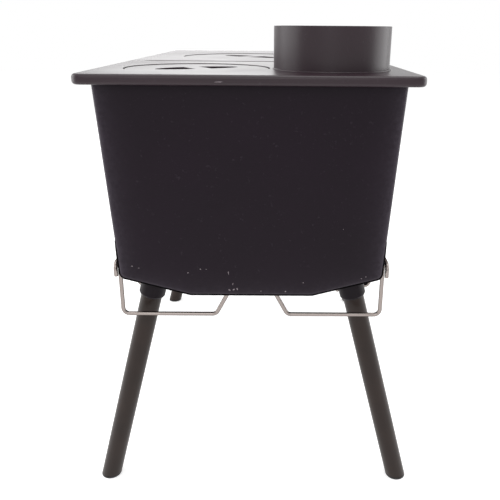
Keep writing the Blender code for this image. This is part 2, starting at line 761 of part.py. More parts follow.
def leg_set(side, end, name):
    """One corner's socket, leg and foot plug."""
    frame = leg_frame(side, MIDDLE + end * (PLATE_LENGTH / 2 - LEG_FROM_END))
    bore = LEG_PIN_RADIUS + GAP
    socket = turned(
        "leg_socket_" + name,
        [(SOCKET_RADIUS, -GAP), (SOCKET_RADIUS, -SOCKET_LENGTH), (bore, -SOCKET_LENGTH), (bore, -GAP)],
        (0, 0, 0), DARK_PAINT, 28,
    )
    shoulder = -SOCKET_LENGTH - GAP
    inner = LEG_RADIUS - LEG_WALL
    reach = frame.translation.z / math.cos(FLOOR_SLOPE) + 2 * LEG_RADIUS
    leg = turned(
        "leg_" + name,
        [
            (LEG_PIN_RADIUS, shoulder + LEG_PIN_LENGTH), (LEG_PIN_RADIUS, shoulder),
            (LEG_RADIUS, shoulder), (LEG_RADIUS, -reach), (inner, -reach), (inner, shoulder + LEG_PIN_LENGTH),
        ],
        (0, 0, 0), DARK_PAINT, 24,
    )
    foot = -frame.translation.z / math.cos(FLOOR_SLOPE)
    stub = cylinder("leg_plug_" + name, (0, 0, -reach), (0, 0, foot + PLUG_STUB), inner - GAP, PLASTIC, 24)
    flange = cylinder("plug_flange_" + name, (0, 0, -reach), (0, 0, foot + PLUG_STUB), LEG_RADIUS, steps=24)
    for piece in (socket, leg, stub, flange):
        piece.matrix_world = frame
    cut(leg, below("leg_cut_" + name, PLUG_FLANGE + GAP))
    cut(flange, above("flange_cut_" + name, PLUG_FLANGE))
    fuse(stub, flange)
    cut(stub, below("plug_cut_" + name, 0.0))


def below(name, z):
    """A cutter for everything under the height z."""
    reach = PLATE_LENGTH
    return box(name, (-reach, -reach, z - reach), (reach, reach, z))


def above(name, z):
    """A cutter for everything over the height z."""
    reach = PLATE_LENGTH
    return box(name, (-reach, -reach, z), (reach, reach, z + reach))


# Side racks


def rack_wire_path(side, y):
    """A cross wire: down beside the hinge rod, under the floor, and up to a free tip near the middle."""
    strand_x = RACK_HINGE_X - WIRE_PITCH
    corners = [
        (strand_x, RACK_HINGE_Z),
        (strand_x, RACK_WIRE_Z),
        (RACK_TIP_BEND_X, RACK_WIRE_Z),
        (RACK_TIP_END_X, FLOOR_Z - RACK_TIP_CLEARANCE),
    ]
    return rounded_path([Vector((side * x, y, z)) for x, z in corners], RACK_BEND_RADIUS)


def rack_hinge_rod(side, name):
    """The rod that the rack turns on, with both of its ends turned down beside the end wires."""
    x = side * RACK_HINGE_X
    tail_z = RACK_HINGE_Z - RACK_TAIL_LENGTH
    front, rear = MIDDLE - RACK_HALF_LENGTH, MIDDLE + RACK_HALF_LENGTH
    corners = [(front, tail_z), (front, RACK_HINGE_Z), (rear, RACK_HINGE_Z), (rear, tail_z)]
    path = rounded_path([Vector((x, y, z)) for y, z in corners], RACK_BEND_RADIUS)
    return group(name + "_rack_hinge_rod", [wire("rod", path, WIRE_RADIUS)], STAINLESS)


def rack_long_rod_places():
    """Where the long rods cross the cross wires, as (x, z): evenly over the flat, and one on the raised tips."""
    inner = RACK_TIP_BEND_X + RACK_BEND_RADIUS
    outer = RACK_HINGE_X - WIRE_PITCH - RACK_BEND_RADIUS - 2 * WIRE_RADIUS
    step = (outer - inner) / (RACK_LONG_RODS - 1)
    places = [Vector((inner + index * step, RACK_WIRE_Z - WELDED_PITCH)) for index in range(RACK_LONG_RODS)]
    bend = Vector((RACK_TIP_BEND_X, RACK_WIRE_Z))
    tip = Vector((RACK_TIP_END_X, FLOOR_Z - RACK_TIP_CLEARANCE))
    rise = (tip - bend).normalized()
    return places + [bend.lerp(tip, RACK_TIP_ROD_AT) + Vector((-rise.y, rise.x)) * WELDED_PITCH]


def rack_grid(side, name):
    """The welded grid: cross wires bent like the end wires, and long rods across them."""
    ys = row(RACK_CROSS_WIRES, RACK_CROSS_WIRE_PITCH)
    crosses = [wire("cross_wire", rack_wire_path(side, y), WIRE_RADIUS) for y in ys]
    front, rear = ys[0] - RACK_GRID_OVERRUN, ys[-1] + RACK_GRID_OVERRUN
    rods = [
        cylinder("long_rod", (side * x, front, z), (side * x, rear, z), WIRE_RADIUS, steps=8)
        for x, z in rack_long_rod_places()
    ]
    return fuse(group(name + "_rack_grid", crosses, STAINLESS), group("long_rods", rods, STAINLESS))


def rack(side, name):
    """One folding rack, whose pieces turn together about the hinge rod."""
    pieces = [rack_hinge_rod(side, name), rack_grid(side, name)]
    for label, end in (("front", -1), ("rear", 1)):
        end_wire = wire("end_wire", rack_wire_path(side, MIDDLE + end * RACK_HALF_LENGTH), WIRE_RADIUS)
        pieces.append(group(f"{name}_rack_{label}_wire", [end_wire], STAINLESS))
    parent_to(joint_empty(name + "_rack_axis", (side * RACK_HINGE_X, MIDDLE, RACK_HINGE_Z)), *pieces)


def rack_lug(side, y, name):
    """An eye on the wall that the hinge rod turns in."""
    centre = Vector((RACK_HINGE_X, RACK_HINGE_Z))
    turns = [math.radians(90 - 180 * step / 8) for step in range(9)]
    nose = [centre + LUG_RADIUS * Vector((math.cos(a), math.sin(a))) for a in turns]
    foot = [(wall_x(z) + GAP, z) for z in (centre.y - LUG_RADIUS, centre.y + LUG_RADIUS)]
    outline = [(side * x, z) for x, z in [*nose, *foot]]
    eye = [(side * x, z) for x, z in circle(WIRE_RADIUS + GAP, centre, 12)]
    return flat_piece(name, [outline, eye], LUG_THICKNESS, upright((0, y, 0)), BLACK_PAINT)


def rack_clip(side, y, name):
    """A spring clip under the floor, whose two fingers hold the tip of a folded rack's cross wire."""
    inner = WIRE_RADIUS + RUNNING_GAP
    outer = inner + CLIP_SHEET
    outline = [
        (-outer, 0.0), (outer, 0.0), (outer, CLIP_HEIGHT), (inner, CLIP_HEIGHT),
        (inner, CLIP_SHEET), (-inner, CLIP_SHEET), (-inner, CLIP_HEIGHT), (-outer, CLIP_HEIGHT),
    ]
    across_and_down = Matrix(((0, 0, -1), (1, 0, 0), (0, -1, 0))).to_4x4()
    x = side * (RACK_TIP_END_X + CLIP_LENGTH / 4)
    place = Matrix.Translation((x, y, FLOOR_Z - GAP)) @ across_and_down
    return flat_piece(name, [outline], CLIP_LENGTH, place, BLACK_PAINT)


# Door


def door_panel():
    """The flat door with its air slots and the hole for the latch bolt."""
    outline = rounded_rectangle(DOOR_WIDTH, DOOR_HEIGHT, DOOR_CORNER_RADIUS, 5)
    middle = DOOR_BACK - DOOR_THICKNESS / 2
    panel = flat_piece("door_panel", [outline], DOOR_THICKNESS, upright((0, middle, DOOR_Z)), BLACK_PAINT)
    bevel(panel, DOOR_EDGE_ROUND, 1, 60.0)
    cut(panel, *air_slots("door", 0.0))
    return cut(panel, latch_drill("latch_hole"))


def air_slots(name, shift):
    half_width, half_height = SLOT_WIDTH / 2, SLOT_HEIGHT / 2
    reach = 4 * DOOR_THICKNESS
    return [
        box(
            f"{name}_slot",
            (x + shift - half_width, DOOR_FACE - reach, SLOT_Z - half_height),
            (x + shift + half_width, DOOR_BACK + reach, SLOT_Z + half_height),
        )
        for x in SLOT_OFFSETS
    ]


def latch_drill(name):
    x, _, z = LATCH_AXIS
    reach = 8 * DOOR_THICKNESS
    return cylinder(name, (x, DOOR_FACE - reach, z), (x, DOOR_BACK + reach, z), BOLT_RADIUS + GAP, steps=12)


def door_lip():
    """A frame welded behind the door, which reaches into the opening and keeps the flames off the joint."""
    width = OPENING_WIDTH - 2 * LIP_CLEARANCE
    height = OPENING_HEIGHT - 2 * LIP_CLEARANCE
    radius = OPENING_CORNER_RADIUS - LIP_CLEARANCE
    outer = rounded_rectangle(width, height, radius)
    inner = rounded_rectangle(width - 2 * LIP_WALL, height - 2 * LIP_WALL, radius - LIP_WALL)
    middle = DOOR_BACK + GAP + LIP_DEPTH / 2
    return flat_piece("door_lip", [outer, inner], LIP_DEPTH, upright((0, middle, DOOR_Z)), BLACK_PAINT)


def barrel(name, low, leaf_low, leaf_high):
    """A hinge barrel round the axis, joined to its leaf and drilled for the pin."""
    x, y, _ = HINGE_AXIS
    high = low + BARREL_LENGTH
    body = cylinder(name, (x, y, low), (x, y, high), BARREL_RADIUS, BLACK_PAINT, 16)
    fuse(body, box(name + "_leaf", leaf_low, leaf_high))
    reach = BARREL_LENGTH
    return cut(body, cylinder("bore", (x, y, low - reach), (x, y, high + reach), PIN_RADIUS + GAP, steps=12))


def frame_leaf(name, z):
    low = z - BARREL_LENGTH - RUNNING_GAP / 2
    back = BODY_FRONT - GAP
    near, far = HINGE_AXIS.x, HINGE_AXIS.x - FRAME_LEAF_WIDTH
    return barrel(name, low, (far, back - LEAF_THICKNESS, low), (near, back, low + BARREL_LENGTH))


def door_leaf(name, z):
    low = z + RUNNING_GAP / 2
    back = DOOR_FACE - GAP
    near, far = HINGE_AXIS.x, HINGE_AXIS.x + DOOR_LEAF_WIDTH
    return barrel(name, low, (near, back - LEAF_THICKNESS, low), (far, back, low + BARREL_LENGTH))


def hinge_pin(name, z):
    """A headed pin dropped through the door's barrel into the frame's."""
    x, y, _ = HINGE_AXIS
    low = z - BARREL_LENGTH - RUNNING_GAP / 2
    head = z + BARREL_LENGTH + RUNNING_GAP / 2 + GAP
    pin = cylinder(name, (x, y, low), (x, y, head + PIN_HEAD_HEIGHT / 2), PIN_RADIUS, BARE_STEEL, 12)
    top = head + PIN_HEAD_HEIGHT
    return fuse(pin, cylinder("pin_head", (x, y, head), (x, y, top), PIN_HEAD_RADIUS, steps=12))


def air_slider():
    """The slotted strip that covers the air slots when it is pushed half a pitch along."""
    half_height = SLIDER_HEIGHT / 2
    strip = box(
        "air_slider",
        (-SLIDER_HALF_LENGTH, SLIDER_FACE, SLOT_Z - half_height),
        (SLIDER_HALF_LENGTH, SLIDER_BACK, SLOT_Z + half_height),
        BARE_STEEL,
    )
    return cut(strip, *air_slots("slider", 0.0))


def slider_knob():
    """A waisted knob on the air slider."""
    start = SLIDER_FACE - GAP
    waist = 0.55 * KNOB_RADIUS
    profile = [
        (0.0, KNOB_LENGTH), (0.8 * KNOB_RADIUS, KNOB_LENGTH), (KNOB_RADIUS, 0.82 * KNOB_LENGTH),
        (KNOB_RADIUS, 0.6 * KNOB_LENGTH), (waist, 0.4 * KNOB_LENGTH), (waist, 0.0), (0.0, 0.0),
    ]
    knob = turned("slider_knob", profile, (0, 0, 0), BARE_STEEL, 16)
    knob.matrix_world = Matrix.Translation((KNOB_X, start, SLOT_Z)) @ Matrix.Rotation(math.pi / 2, 4, "X")
    return knob


def slider_rail(side, name):
    """A folded strip on the door that holds one long edge of the slider: above it, +1, or below it, -1."""
    edge = SLOT_Z + side * (SLIDER_HEIGHT / 2 + GAP)
    base_face = DOOR_FACE - GAP - RAIL_SHEET
    lip_face = SLIDER_FACE - GAP - RAIL_SHEET
    corners = [
        (base_face, edge + side * (RAIL_SHEET + RAIL_BASE)),
        (base_face, edge + side * RAIL_SHEET),
        (lip_face, edge + side * RAIL_SHEET),
        (lip_face, edge - side * RAIL_LIP),
    ]
    path = [Vector((-RAIL_HALF_LENGTH, y, z)) for y, z in corners]
    along = Vector((2 * RAIL_HALF_LENGTH, 0, 0))
    return sheet(name, path, along, RAIL_SHEET, (0, DOOR_BACK, SLOT_Z), BLACK_PAINT)


def latch_lever():
    """A flat bar on the latch bolt: a short tongue below and a long arm above that carries the grip."""
    half = LEVER_WIDTH / 2
    arc = [math.radians(180 * step / 8) for step in range(9)]
    top = [(half * math.cos(a), ARM_LENGTH + half * math.sin(a)) for a in arc]
    bottom = [(-half * math.cos(a), -TONGUE_LENGTH + half - half * math.sin(a)) for a in arc]
    hole = circle(BOLT_RADIUS + GAP, steps=12)
    place = upright((LATCH_AXIS.x, LEVER_BACK - LEVER_THICKNESS / 2, LATCH_AXIS.z))
    return flat_piece("latch_lever", [top + bottom, hole], LEVER_THICKNESS, place, BARE_STEEL)


def latch_rod():
    """The rod that stands out of the arm, with its end stop."""
    x, z = LATCH_AXIS.x, LATCH_AXIS.z + ARM_LENGTH
    start = LEVER_FACE - GAP
    end = start - GRIP_LENGTH
    rod = cylinder("latch_rod", (x, start, z), (x, end + GRIP_END_LENGTH / 2, z), GRIP_ROD_RADIUS, BARE_STEEL, 16)
    stop = cylinder("grip_end", (x, end + GRIP_END_LENGTH, z), (x, end, z), GRIP_END_RADIUS, steps=16)
    return fuse(rod, bevel(stop, GRIP_END_LENGTH / 4, 1, 60.0))


def latch_coil():
    """The coil of wire round the rod, which stays cool enough to hold."""
    x, z = LATCH_AXIS.x, LATCH_AXIS.z + ARM_LENGTH
    length = COIL_TURNS * COIL_PITCH
    room = GRIP_LENGTH - GRIP_END_LENGTH - length - 2 * COIL_WIRE_RADIUS
    start = LEVER_FACE - GAP - room - COIL_WIRE_RADIUS
    points = []
    for step in range(COIL_TURNS * COIL_POINTS_PER_TURN + 1):
        angle = 2 * math.pi * step / COIL_POINTS_PER_TURN
        along = start - COIL_PITCH * step / COIL_POINTS_PER_TURN
        points.append(Vector((x + COIL_RADIUS * math.cos(angle), along, z + COIL_RADIUS * math.sin(angle))))
    nearest = min(
        (points[index + turn] - point).length
        for index, point in enumerate(points)
        for turn in range(COIL_POINTS_PER_TURN // 2, min(2 * COIL_POINTS_PER_TURN, len(points) - index))
    )
    print(f"latch coil: least gap to itself {1000 * (nearest - 2 * COIL_WIRE_RADIUS):.2f} mm")
    return group("latch_coil", [wire("coil", points, COIL_WIRE_RADIUS, sides=1)], STAINLESS)


def latch_bolt():
    """The bolt that the lever turns on, with its head outside and its nut inside the door."""
    x, _, z = LATCH_AXIS
    head = LEVER_FACE - GAP
    nut = DOOR_BACK + GAP
    shank = (x, head - BOLT_HEAD_HEIGHT / 2, z), (x, nut + NUT_HEIGHT / 2, z)
    bolt = cylinder("latch_bolt", *shank, BOLT_RADIUS, BARE_STEEL, 12)
    fuse(bolt, cylinder("bolt_head", (x, head - BOLT_HEAD_HEIGHT, z), (x, head, z), BOLT_HEAD_RADIUS, steps=12))
    return fuse(bolt, cylinder("bolt_nut", (x, nut, z), (x, nut + NUT_HEIGHT, z), NUT_RADIUS, steps=6))


def latch_keeper():
    """The bent strip beside the door that the tongue turns in behind."""
    lip_face = LEVER_FACE - RUNNING_GAP - KEEPER_SHEET
    riser = LATCH_AXIS.x + TONGUE_LENGTH + KEEPER_TONGUE_CLEARANCE + KEEPER_SHEET
    low = LATCH_AXIS.z - KEEPER_HEIGHT / 2
    corners = [
        (riser + KEEPER_BASE, BODY_FRONT - GAP - KEEPER_SHEET),
        (riser, BODY_FRONT - GAP - KEEPER_SHEET),
        (riser, lip_face),
        (riser - KEEPER_LIP, lip_face),
    ]
    path = [Vector((x, y, low)) for x, y in corners]
    inside = (0, BODY_FRONT, DOOR_Z)
    return sheet("latch_keeper", path, Vector((0, 0, KEEPER_HEIGHT)), KEEPER_SHEET, inside, BLACK_PAINT)


def build_top():
    top_plate()
    flue_collar()
    for name, (centre, hole_radius, pocket, turn) in LIDS.items():
        lid_seat(name + "_seat", centre, hole_radius)
        pieces = lid(name, centre, hole_radius, pocket, turn), lid_cup(name + "_cup", centre, pocket, turn)
        parent_to(joint_empty(name + "_lift", (*centre, TOP_HEIGHT)), *pieces)


def build_firebox():
    body_shell()
    rear_panel()
    front_panel()
    fire_grate()


def build_legs():
    for side, across in ((-1, "left"), (1, "right")):
        for end, along in ((-1, "front"), (1, "rear")):
            leg_set(side, end, f"{along}_{across}")


def build_racks():
    ends = (("front", -1), ("middle", 0), ("rear", 1))
    inner_wires = row(RACK_CROSS_WIRES, RACK_CROSS_WIRE_PITCH)[1:-1]
    for side, name in ((-1, "left"), (1, "right")):
        rack(side, name)
        for label, end in ends:
            rack_lug(side, MIDDLE + end * LUG_SPACING, f"{name}_rack_lug_{label}")
        for label, y in zip(("front", "rear"), (inner_wires[0], inner_wires[-1])):
            rack_clip(side, y, f"{name}_rack_clip_{label}")


def build_door():
    leaves = []
    for label, place in (("upper", 1), ("lower", -1)):
        z = DOOR_Z + place * HINGE_SPACING / 2
        frame_leaf(f"{label}_hinge_frame_leaf", z)
        hinge_pin(f"{label}_hinge_pin", z)
        leaves.append(door_leaf(f"{label}_hinge_door_leaf", z))
    rails = slider_rail(1, "slider_rail_upper"), slider_rail(-1, "slider_rail_lower")
    slider_axis = joint_empty("air_slider_axis", (0, SLIDER_BACK, SLOT_Z))
    parent_to(slider_axis, air_slider(), slider_knob())
    latch_axis = joint_empty("latch_axis", LATCH_AXIS)
    parent_to(latch_axis, latch_lever(), latch_rod(), latch_coil())
    door_axis = joint_empty("door_axis", HINGE_AXIS)
    parent_to(door_axis, door_panel(), door_lip(), *leaves, *rails, latch_bolt(), slider_axis, latch_axis)
    latch_keeper()


def main():
    build_top()
    build_firebox()
    build_legs()
    build_racks()
    build_door()


main()
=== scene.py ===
"""Camping wood stove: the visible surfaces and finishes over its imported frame, a plain studio and the camera.

Metres, in the frame's own axes: +Z up, ground at Z = 0, door towards -Y, plain rear panel towards +Y.
"""

import math

import bmesh
import bpy
import numpy as np
from mathutils import Matrix, Vector


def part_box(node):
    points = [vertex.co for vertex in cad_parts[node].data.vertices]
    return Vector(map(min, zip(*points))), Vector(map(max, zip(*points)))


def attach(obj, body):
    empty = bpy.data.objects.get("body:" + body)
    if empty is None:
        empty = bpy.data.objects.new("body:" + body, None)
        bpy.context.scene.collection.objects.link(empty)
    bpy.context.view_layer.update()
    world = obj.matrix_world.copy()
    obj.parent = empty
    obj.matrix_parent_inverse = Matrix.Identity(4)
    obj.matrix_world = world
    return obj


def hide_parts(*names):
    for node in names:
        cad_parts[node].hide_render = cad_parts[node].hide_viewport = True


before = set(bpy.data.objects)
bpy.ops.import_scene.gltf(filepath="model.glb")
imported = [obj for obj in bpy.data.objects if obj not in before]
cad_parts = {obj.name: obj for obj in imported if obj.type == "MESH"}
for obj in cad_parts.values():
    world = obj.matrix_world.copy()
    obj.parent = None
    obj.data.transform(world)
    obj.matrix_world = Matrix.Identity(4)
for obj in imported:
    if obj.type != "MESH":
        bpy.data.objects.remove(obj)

bl_info = {
    "name": "Camping wood stove",
    "version": (1, 0, 0),
    "blender": (4, 5, 0),
    "location": "3D View > Sidebar > Stove",
    "description": "Dresses a camping wood stove's frame with sheet, wire and tube surfaces and their finishes",
    "category": "Add Mesh",
}

# Places that the frame gives
PLATE_LOW, PLATE_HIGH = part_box("top_plate")
TOP, FRONT_EDGE, REAR_EDGE = PLATE_HIGH.z, PLATE_LOW.y, PLATE_HIGH.y
BODY_FRONT, BODY_REAR = (corner.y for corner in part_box("body_shell"))
MIDDLE = (FRONT_EDGE + REAR_EDGE) / 2

# Sizes repeated from the part
PLATE_THICKNESS = 0.0025
PLATE_CORNER = 0.009
PLATE_BEND = 0.0032
GROOVE_Y = REAR_EDGE - 0.212
GROOVE_HALF_LENGTH = 0.132
GROOVE_HALF_WIDTH = 0.006
GROOVE_FLOOR_HALF_WIDTH = 0.0035
GROOVE_DEPTH = 0.0018
COLLAR_CENTRE = np.array((-0.0758, REAR_EDGE - 0.0852))
COLLAR_RADIUS = 0.0555
COLLAR_WALL = 0.002
COLLAR_HEIGHT = 0.0394
COLLAR_DEPTH = 0.006
# Each lid's centre, the radius of its hole, half the length of its pocket and its turn
LIDS = {
    "rear_lid": (np.array((0.0544, REAR_EDGE - 0.0937)), 0.071, 0.0435, math.radians(31.0)),
    "front_lid": (np.array((0.0106, REAR_EDGE - 0.344)), 0.093, 0.052, math.radians(-43.0)),
}
LID_THICKNESS = 0.0025
LID_TOP = TOP - 0.0007
LID_SIDE_CLEARANCE = 0.0012
POCKET_HALF_WIDTH = 0.0155
BRIDGE_HALF_WIDTH = 0.00825
CUP_MARGIN = 0.002
CUP_WALL = 0.0015
CUP_DEPTH = 0.01
SEAT_FLANGE = 0.0028
SEAT_LEDGE = 0.008
SHEET = 0.002
GAP = 0.0003
CORNER_HALF_WIDTH = 0.1247
CORNER_Z = TOP - 0.1895
FLOOR_HALF_WIDTH = 0.0586
FLOOR_Z = TOP - 0.207
WALL_LEAN = 0.0621
FLOOR_SLOPE = math.atan2(CORNER_Z - FLOOR_Z, CORNER_HALF_WIDTH - FLOOR_HALF_WIDTH)
SHELL_BEND = 0.006
TOP_FLANGE = 0.009
TOP_FLANGE_BEND = 0.002
PAN_FLANGE = 0.012
PAN_BEND = 0.0045
LEG_HALF_SPACING = 0.0967
LEG_Y = (REAR_EDGE - FRONT_EDGE) / 2 - 0.0482
LEG_RADIUS = 0.01065
LEG_BORE = 0.00865
LEG_PIN_RADIUS = 0.0097
LEG_PIN_LENGTH = 0.017
SOCKET_RADIUS = 0.0132
SOCKET_LENGTH = 0.022
PLUG_FLANGE = 0.0025
WIRE_RADIUS = 0.002
WELD_SINK = 0.0005
RACK_HINGE_X = 0.13189
RACK_HINGE_Z = TOP - 0.18
RACK_WIRE_Z = TOP - 0.2332
RACK_STRAND_X = RACK_HINGE_X - 0.0043
RACK_TIP_BEND_X = 0.0355
RACK_TIP_END_X = 0.0238
RACK_TIP_Z = FLOOR_Z - 0.0042
RACK_TIP_ROD_AT = 0.45
RACK_BEND = 0.006
RACK_HALF_LENGTH = 0.249
RACK_CROSS_WIRES = 4
RACK_CROSS_PITCH = 0.12
RACK_LONG_RODS = 4
RACK_OVERRUN = 0.005
DOOR_Z = TOP - 0.096
OPENING_HALF_WIDTH = 0.085
OPENING_HALF_HEIGHT = 0.055
OPENING_CORNER = 0.01
DOOR_LEAF_Y = BODY_FRONT - 0.0058
FRAME_LEAF_Y = BODY_FRONT - 0.0023
KNOB_X = 0.0405
GRIP_X = 0.073
GRIP_Z = DOOR_Z + 0.05
COIL_TURNS = 16
COIL_PITCH = 0.003
COIL_RADIUS = 0.0054
COIL_WIRE_RADIUS = 0.0011

# What only the visible surfaces have: sizes, the reach for joining corners, and the share that a bar's end is eased
MERGE_DISTANCE = 0.000002
END_EASE = 0.3
RIVET_RADIUS, RIVET_HEIGHT = 0.0021, 0.0011
NUGGET_RADIUS, NUGGET_HALF_LENGTH = 0.0016, 0.0029
PLATE_TURN_IN = 0.003
PLATE_SPLIT_X = -0.0183
GROOVE_EASE = 0.0006
GROOVE_STRIP_HALF_WIDTH = 0.008
DRAWN_SHEET = 0.0012
SHELL_EDGE = 0.0003
PAN_LAP = 0.009
# Radius of the black strip of painted shadow in the rear pan's lower seam
SEAM_SHADOW_RADIUS = 0.0009
SOCKET_SKIRT = 0.0045
RACK_TAIL = 0.013


def linear(colour):
    """A #rrggbb sRGB colour as three linear values."""
    channel = np.array([int(colour[i:i + 2], 16) / 255 for i in (1, 3, 5)])
    return tuple(np.where(channel <= 0.04045, channel / 12.92, ((channel + 0.055) / 1.055) ** 2.4).tolist())


def wall_x(z):
    """Half-width of the firebox's outside at height z on its leaning walls."""
    return CORNER_HALF_WIDTH + (z - CORNER_Z) * WALL_LEAN


# Shapes


def grid(points, close_rows=False, close_columns=False):
    """The quads of a grid of points (rows, columns, 3); a closed direction joins its last line to its first."""
    index = np.arange(points.shape[0] * points.shape[1]).reshape(points.shape[:2])
    if close_rows:
        index = np.vstack([index, index[:1]])
    if close_columns:
        index = np.hstack([index, index[:, :1]])
    quads = np.stack([index[:-1, :-1], index[1:, :-1], index[1:, 1:], index[:-1, 1:]], axis=-1)
    return points.reshape(-1, 3), quads.reshape(-1, 4)


def between(start, end, share):
    """Points that lie a share of the way from start to end."""
    return start * (1 - share) + end * share


def placed(points, matrix):
    """Points carried into a 4x4 frame: turned by its upper left 3x3, then moved by its last column."""
    matrix = np.array(matrix)
    return points @ matrix[:3, :3].T + matrix[:3, 3]


def unit(vectors):
    """Vectors of the same directions and length 1."""
    return vectors / np.linalg.norm(vectors, axis=-1, keepdims=True)


def full_turn(steps):
    """Even angles once round, as a column."""
    return np.linspace(0.0, 2 * np.pi, steps, endpoint=False)[:, None]


def lengths_along(path):
    """The length along a path from its start to each point."""
    return np.concatenate([[0.0], np.cumsum(np.linalg.norm(np.diff(path, axis=0), axis=1))])


def smooth_step(low, high, x):
    """0 up to low, 1 from high on, and t^2 (3 - 2t) between, where t runs from 0 to 1."""
    t = np.clip((x - low) / (high - low), 0.0, 1.0)
    return t * t * (3 - 2 * t)


def filleted(corners, radii, steps=6, closed=False):
    """A line through the corners, each replaced by an arc that touches both sides.

    The arc's centre lies radius / sin(half angle) along the bisector, and its points turn evenly from side to side.
    """
    corners = np.asarray(corners, float)
    count = len(corners)
    radii = np.broadcast_to(radii, count)
    share = np.linspace(0.0, 1.0, steps + 1)[:, None]
    points = []
    for i, (corner, radius) in enumerate(zip(corners, radii)):
        if radius == 0.0 or (not closed and i in (0, count - 1)):
            points.append(corner[None])
            continue
        before = unit(corners[i - 1] - corner)
        after = unit(corners[(i + 1) % count] - corner)
        half = np.arccos(np.clip(before @ after, -1.0, 1.0)) / 2
        centre = corner + unit(before + after) * radius / np.sin(half)
        start = corner + before * radius / np.tan(half) - centre
        end = corner + after * radius / np.tan(half) - centre
        turn = np.pi - 2 * half
        points.append(centre + (np.sin((1 - share) * turn) * start + np.sin(share * turn) * end) / np.sin(turn))
    return np.concatenate(points)


def turned(radii, heights, place, ring=True, steps=72):
    """A body of revolution: (r cos a, r sin a, h) over the angle a and along the profile.

    Radii and heights may also vary with the angle. A ring's profile is closed, and any other starts and ends on
    the axis.
    """
    radii, heights, angle = np.broadcast_arrays(radii, heights, full_turn(steps))
    points = np.stack([radii * np.cos(angle), radii * np.sin(angle), heights], axis=-1)
    return grid(placed(points, place), True, ring)


def bar(path, normal, radius, sides, closed=False):
    """A round bar: at each path point p, p + r (cos a * across + sin a * up), with both square to the path.

    The ends of an open bar are cut square, with their edges eased over a share of the radius.
    """
    path = np.asarray(path, float)
    normal = np.broadcast_to(normal, path.shape)
    radius = np.broadcast_to(radius, len(path)).astype(float)
    if closed:
        steps = unit(np.roll(path, -1, 0) - path)
        along = unit(steps + np.roll(steps, 1, 0))
    else:
        steps = unit(np.diff(path, axis=0))
        along = unit(np.concatenate([steps[:1], steps[:-1] + steps[1:], steps[-1:]]))
        turn = np.linspace(0.0, np.pi / 2, 4)
        back, inset = 1 - np.cos(turn), 1 - np.sin(turn)
        first, last = END_EASE * radius[0], END_EASE * radius[-1]
        path = np.concatenate([
            path[:1], path[0] + along[0] * first * back[:, None], path[1:-1],
            path[-1] - along[-1] * last * back[::-1, None], path[-1:],
        ])
        radius = np.concatenate([
            [0.0], radius[0] - first * inset, radius[1:-1], radius[-1] - last * inset[::-1], [0.0],
        ])
        rows = np.concatenate([np.zeros(5, int), np.arange(1, len(along) - 1), np.full(5, len(along) - 1)])
        along, normal = along[rows], normal[rows]
    across = unit(np.cross(along, normal))
    up = np.cross(across, along)
    angle = full_turn(sides)
    spokes = np.cos(angle) * across[:, None] + np.sin(angle) * up[:, None]
    return grid(path[:, None] + radius[:, None, None] * spokes, closed, True)


def circle_path(centre, radius, steps):
    """Points round a level circle: centre + radius (cos a, sin a, 0)."""
    angle = full_turn(steps)
    return np.asarray(centre) + radius * np.hstack([np.cos(angle), np.sin(angle), 0 * angle])


def bead(ring, normal, width, pitch=0.0021):
    """A weld bead round a ring: a bar whose radius ripples as |sin| of its length, once a pitch, and swells."""
    length = lengths_along(ring)
    ripple = 0.8 + 0.2 * np.abs(np.sin(np.pi * length / pitch)) + 0.09 * np.sin(length * 310.0)
    return bar(ring, normal, width * ripple, 8, closed=True)


def towards_door(centre):
    """Axes at a centre, with Z towards the door side."""
    return Matrix.Translation(centre) @ Matrix.Rotation(math.pi / 2, 4, "X")


def rivet(centre):
    """A rivet head on the door side: radius sin t out from its axis and height cos t along it."""
    t = np.linspace(0.0, np.pi / 2, 7)
    radii, heights = np.append(RIVET_RADIUS * np.sin(t), 0.0), np.append(RIVET_HEIGHT * np.cos(t), 0.0)
    return turned(radii, heights, towards_door(centre), ring=False, steps=16)


def nugget(centre):
    """A spot weld along Y: radius sin t (1 + 0.08 sin 3a) out and half its length cos t along, pole to pole."""
    steps = 14
    t = np.linspace(0.0, np.pi, 9)
    radii = NUGGET_RADIUS * np.sin(t) * (1 + 0.08 * np.sin(3 * full_turn(steps)))
    return turned(radii, NUGGET_HALF_LENGTH * np.cos(t), towards_door(centre), ring=False, steps=steps)


# Pieces


def skin(patches, inside=None):
    """One mesh from grids: corners that meet are joined, and faces turned outwards.

    An open skin doesn't show which way is out, so it is given a point that is inside.
    """
    offsets = np.cumsum([0] + [len(points) for points, _ in patches[:-1]])
    points = np.concatenate([points for points, _ in patches])
    quads = np.concatenate([quads + offset for (_, quads), offset in zip(patches, offsets)])
    mesh = bpy.data.meshes.new("skin")
    mesh.from_pydata(points, [], quads)
    bm = bmesh.new()
    bm.from_mesh(mesh)
    bmesh.ops.remove_doubles(bm, verts=bm.verts, dist=MERGE_DISTANCE)
    bmesh.ops.recalc_face_normals(bm, faces=bm.faces)
    if inside is not None:
        inside = Vector(inside)
        outward = sum(f.normal.dot(f.calc_center_median() - inside) * f.calc_area() for f in bm.faces)
        if outward < 0:
            bmesh.ops.reverse_faces(bm, faces=bm.faces)
    bm.to_mesh(mesh)
    bm.free()
    return mesh


def baked(obj):
    """Puts what the object's modifiers make into its mesh."""
    bpy.context.view_layer.update()
    mesh = bpy.data.meshes.new_from_object(obj.evaluated_get(bpy.context.evaluated_depsgraph_get()))
    obj.modifiers.clear()
    obj.data = mesh


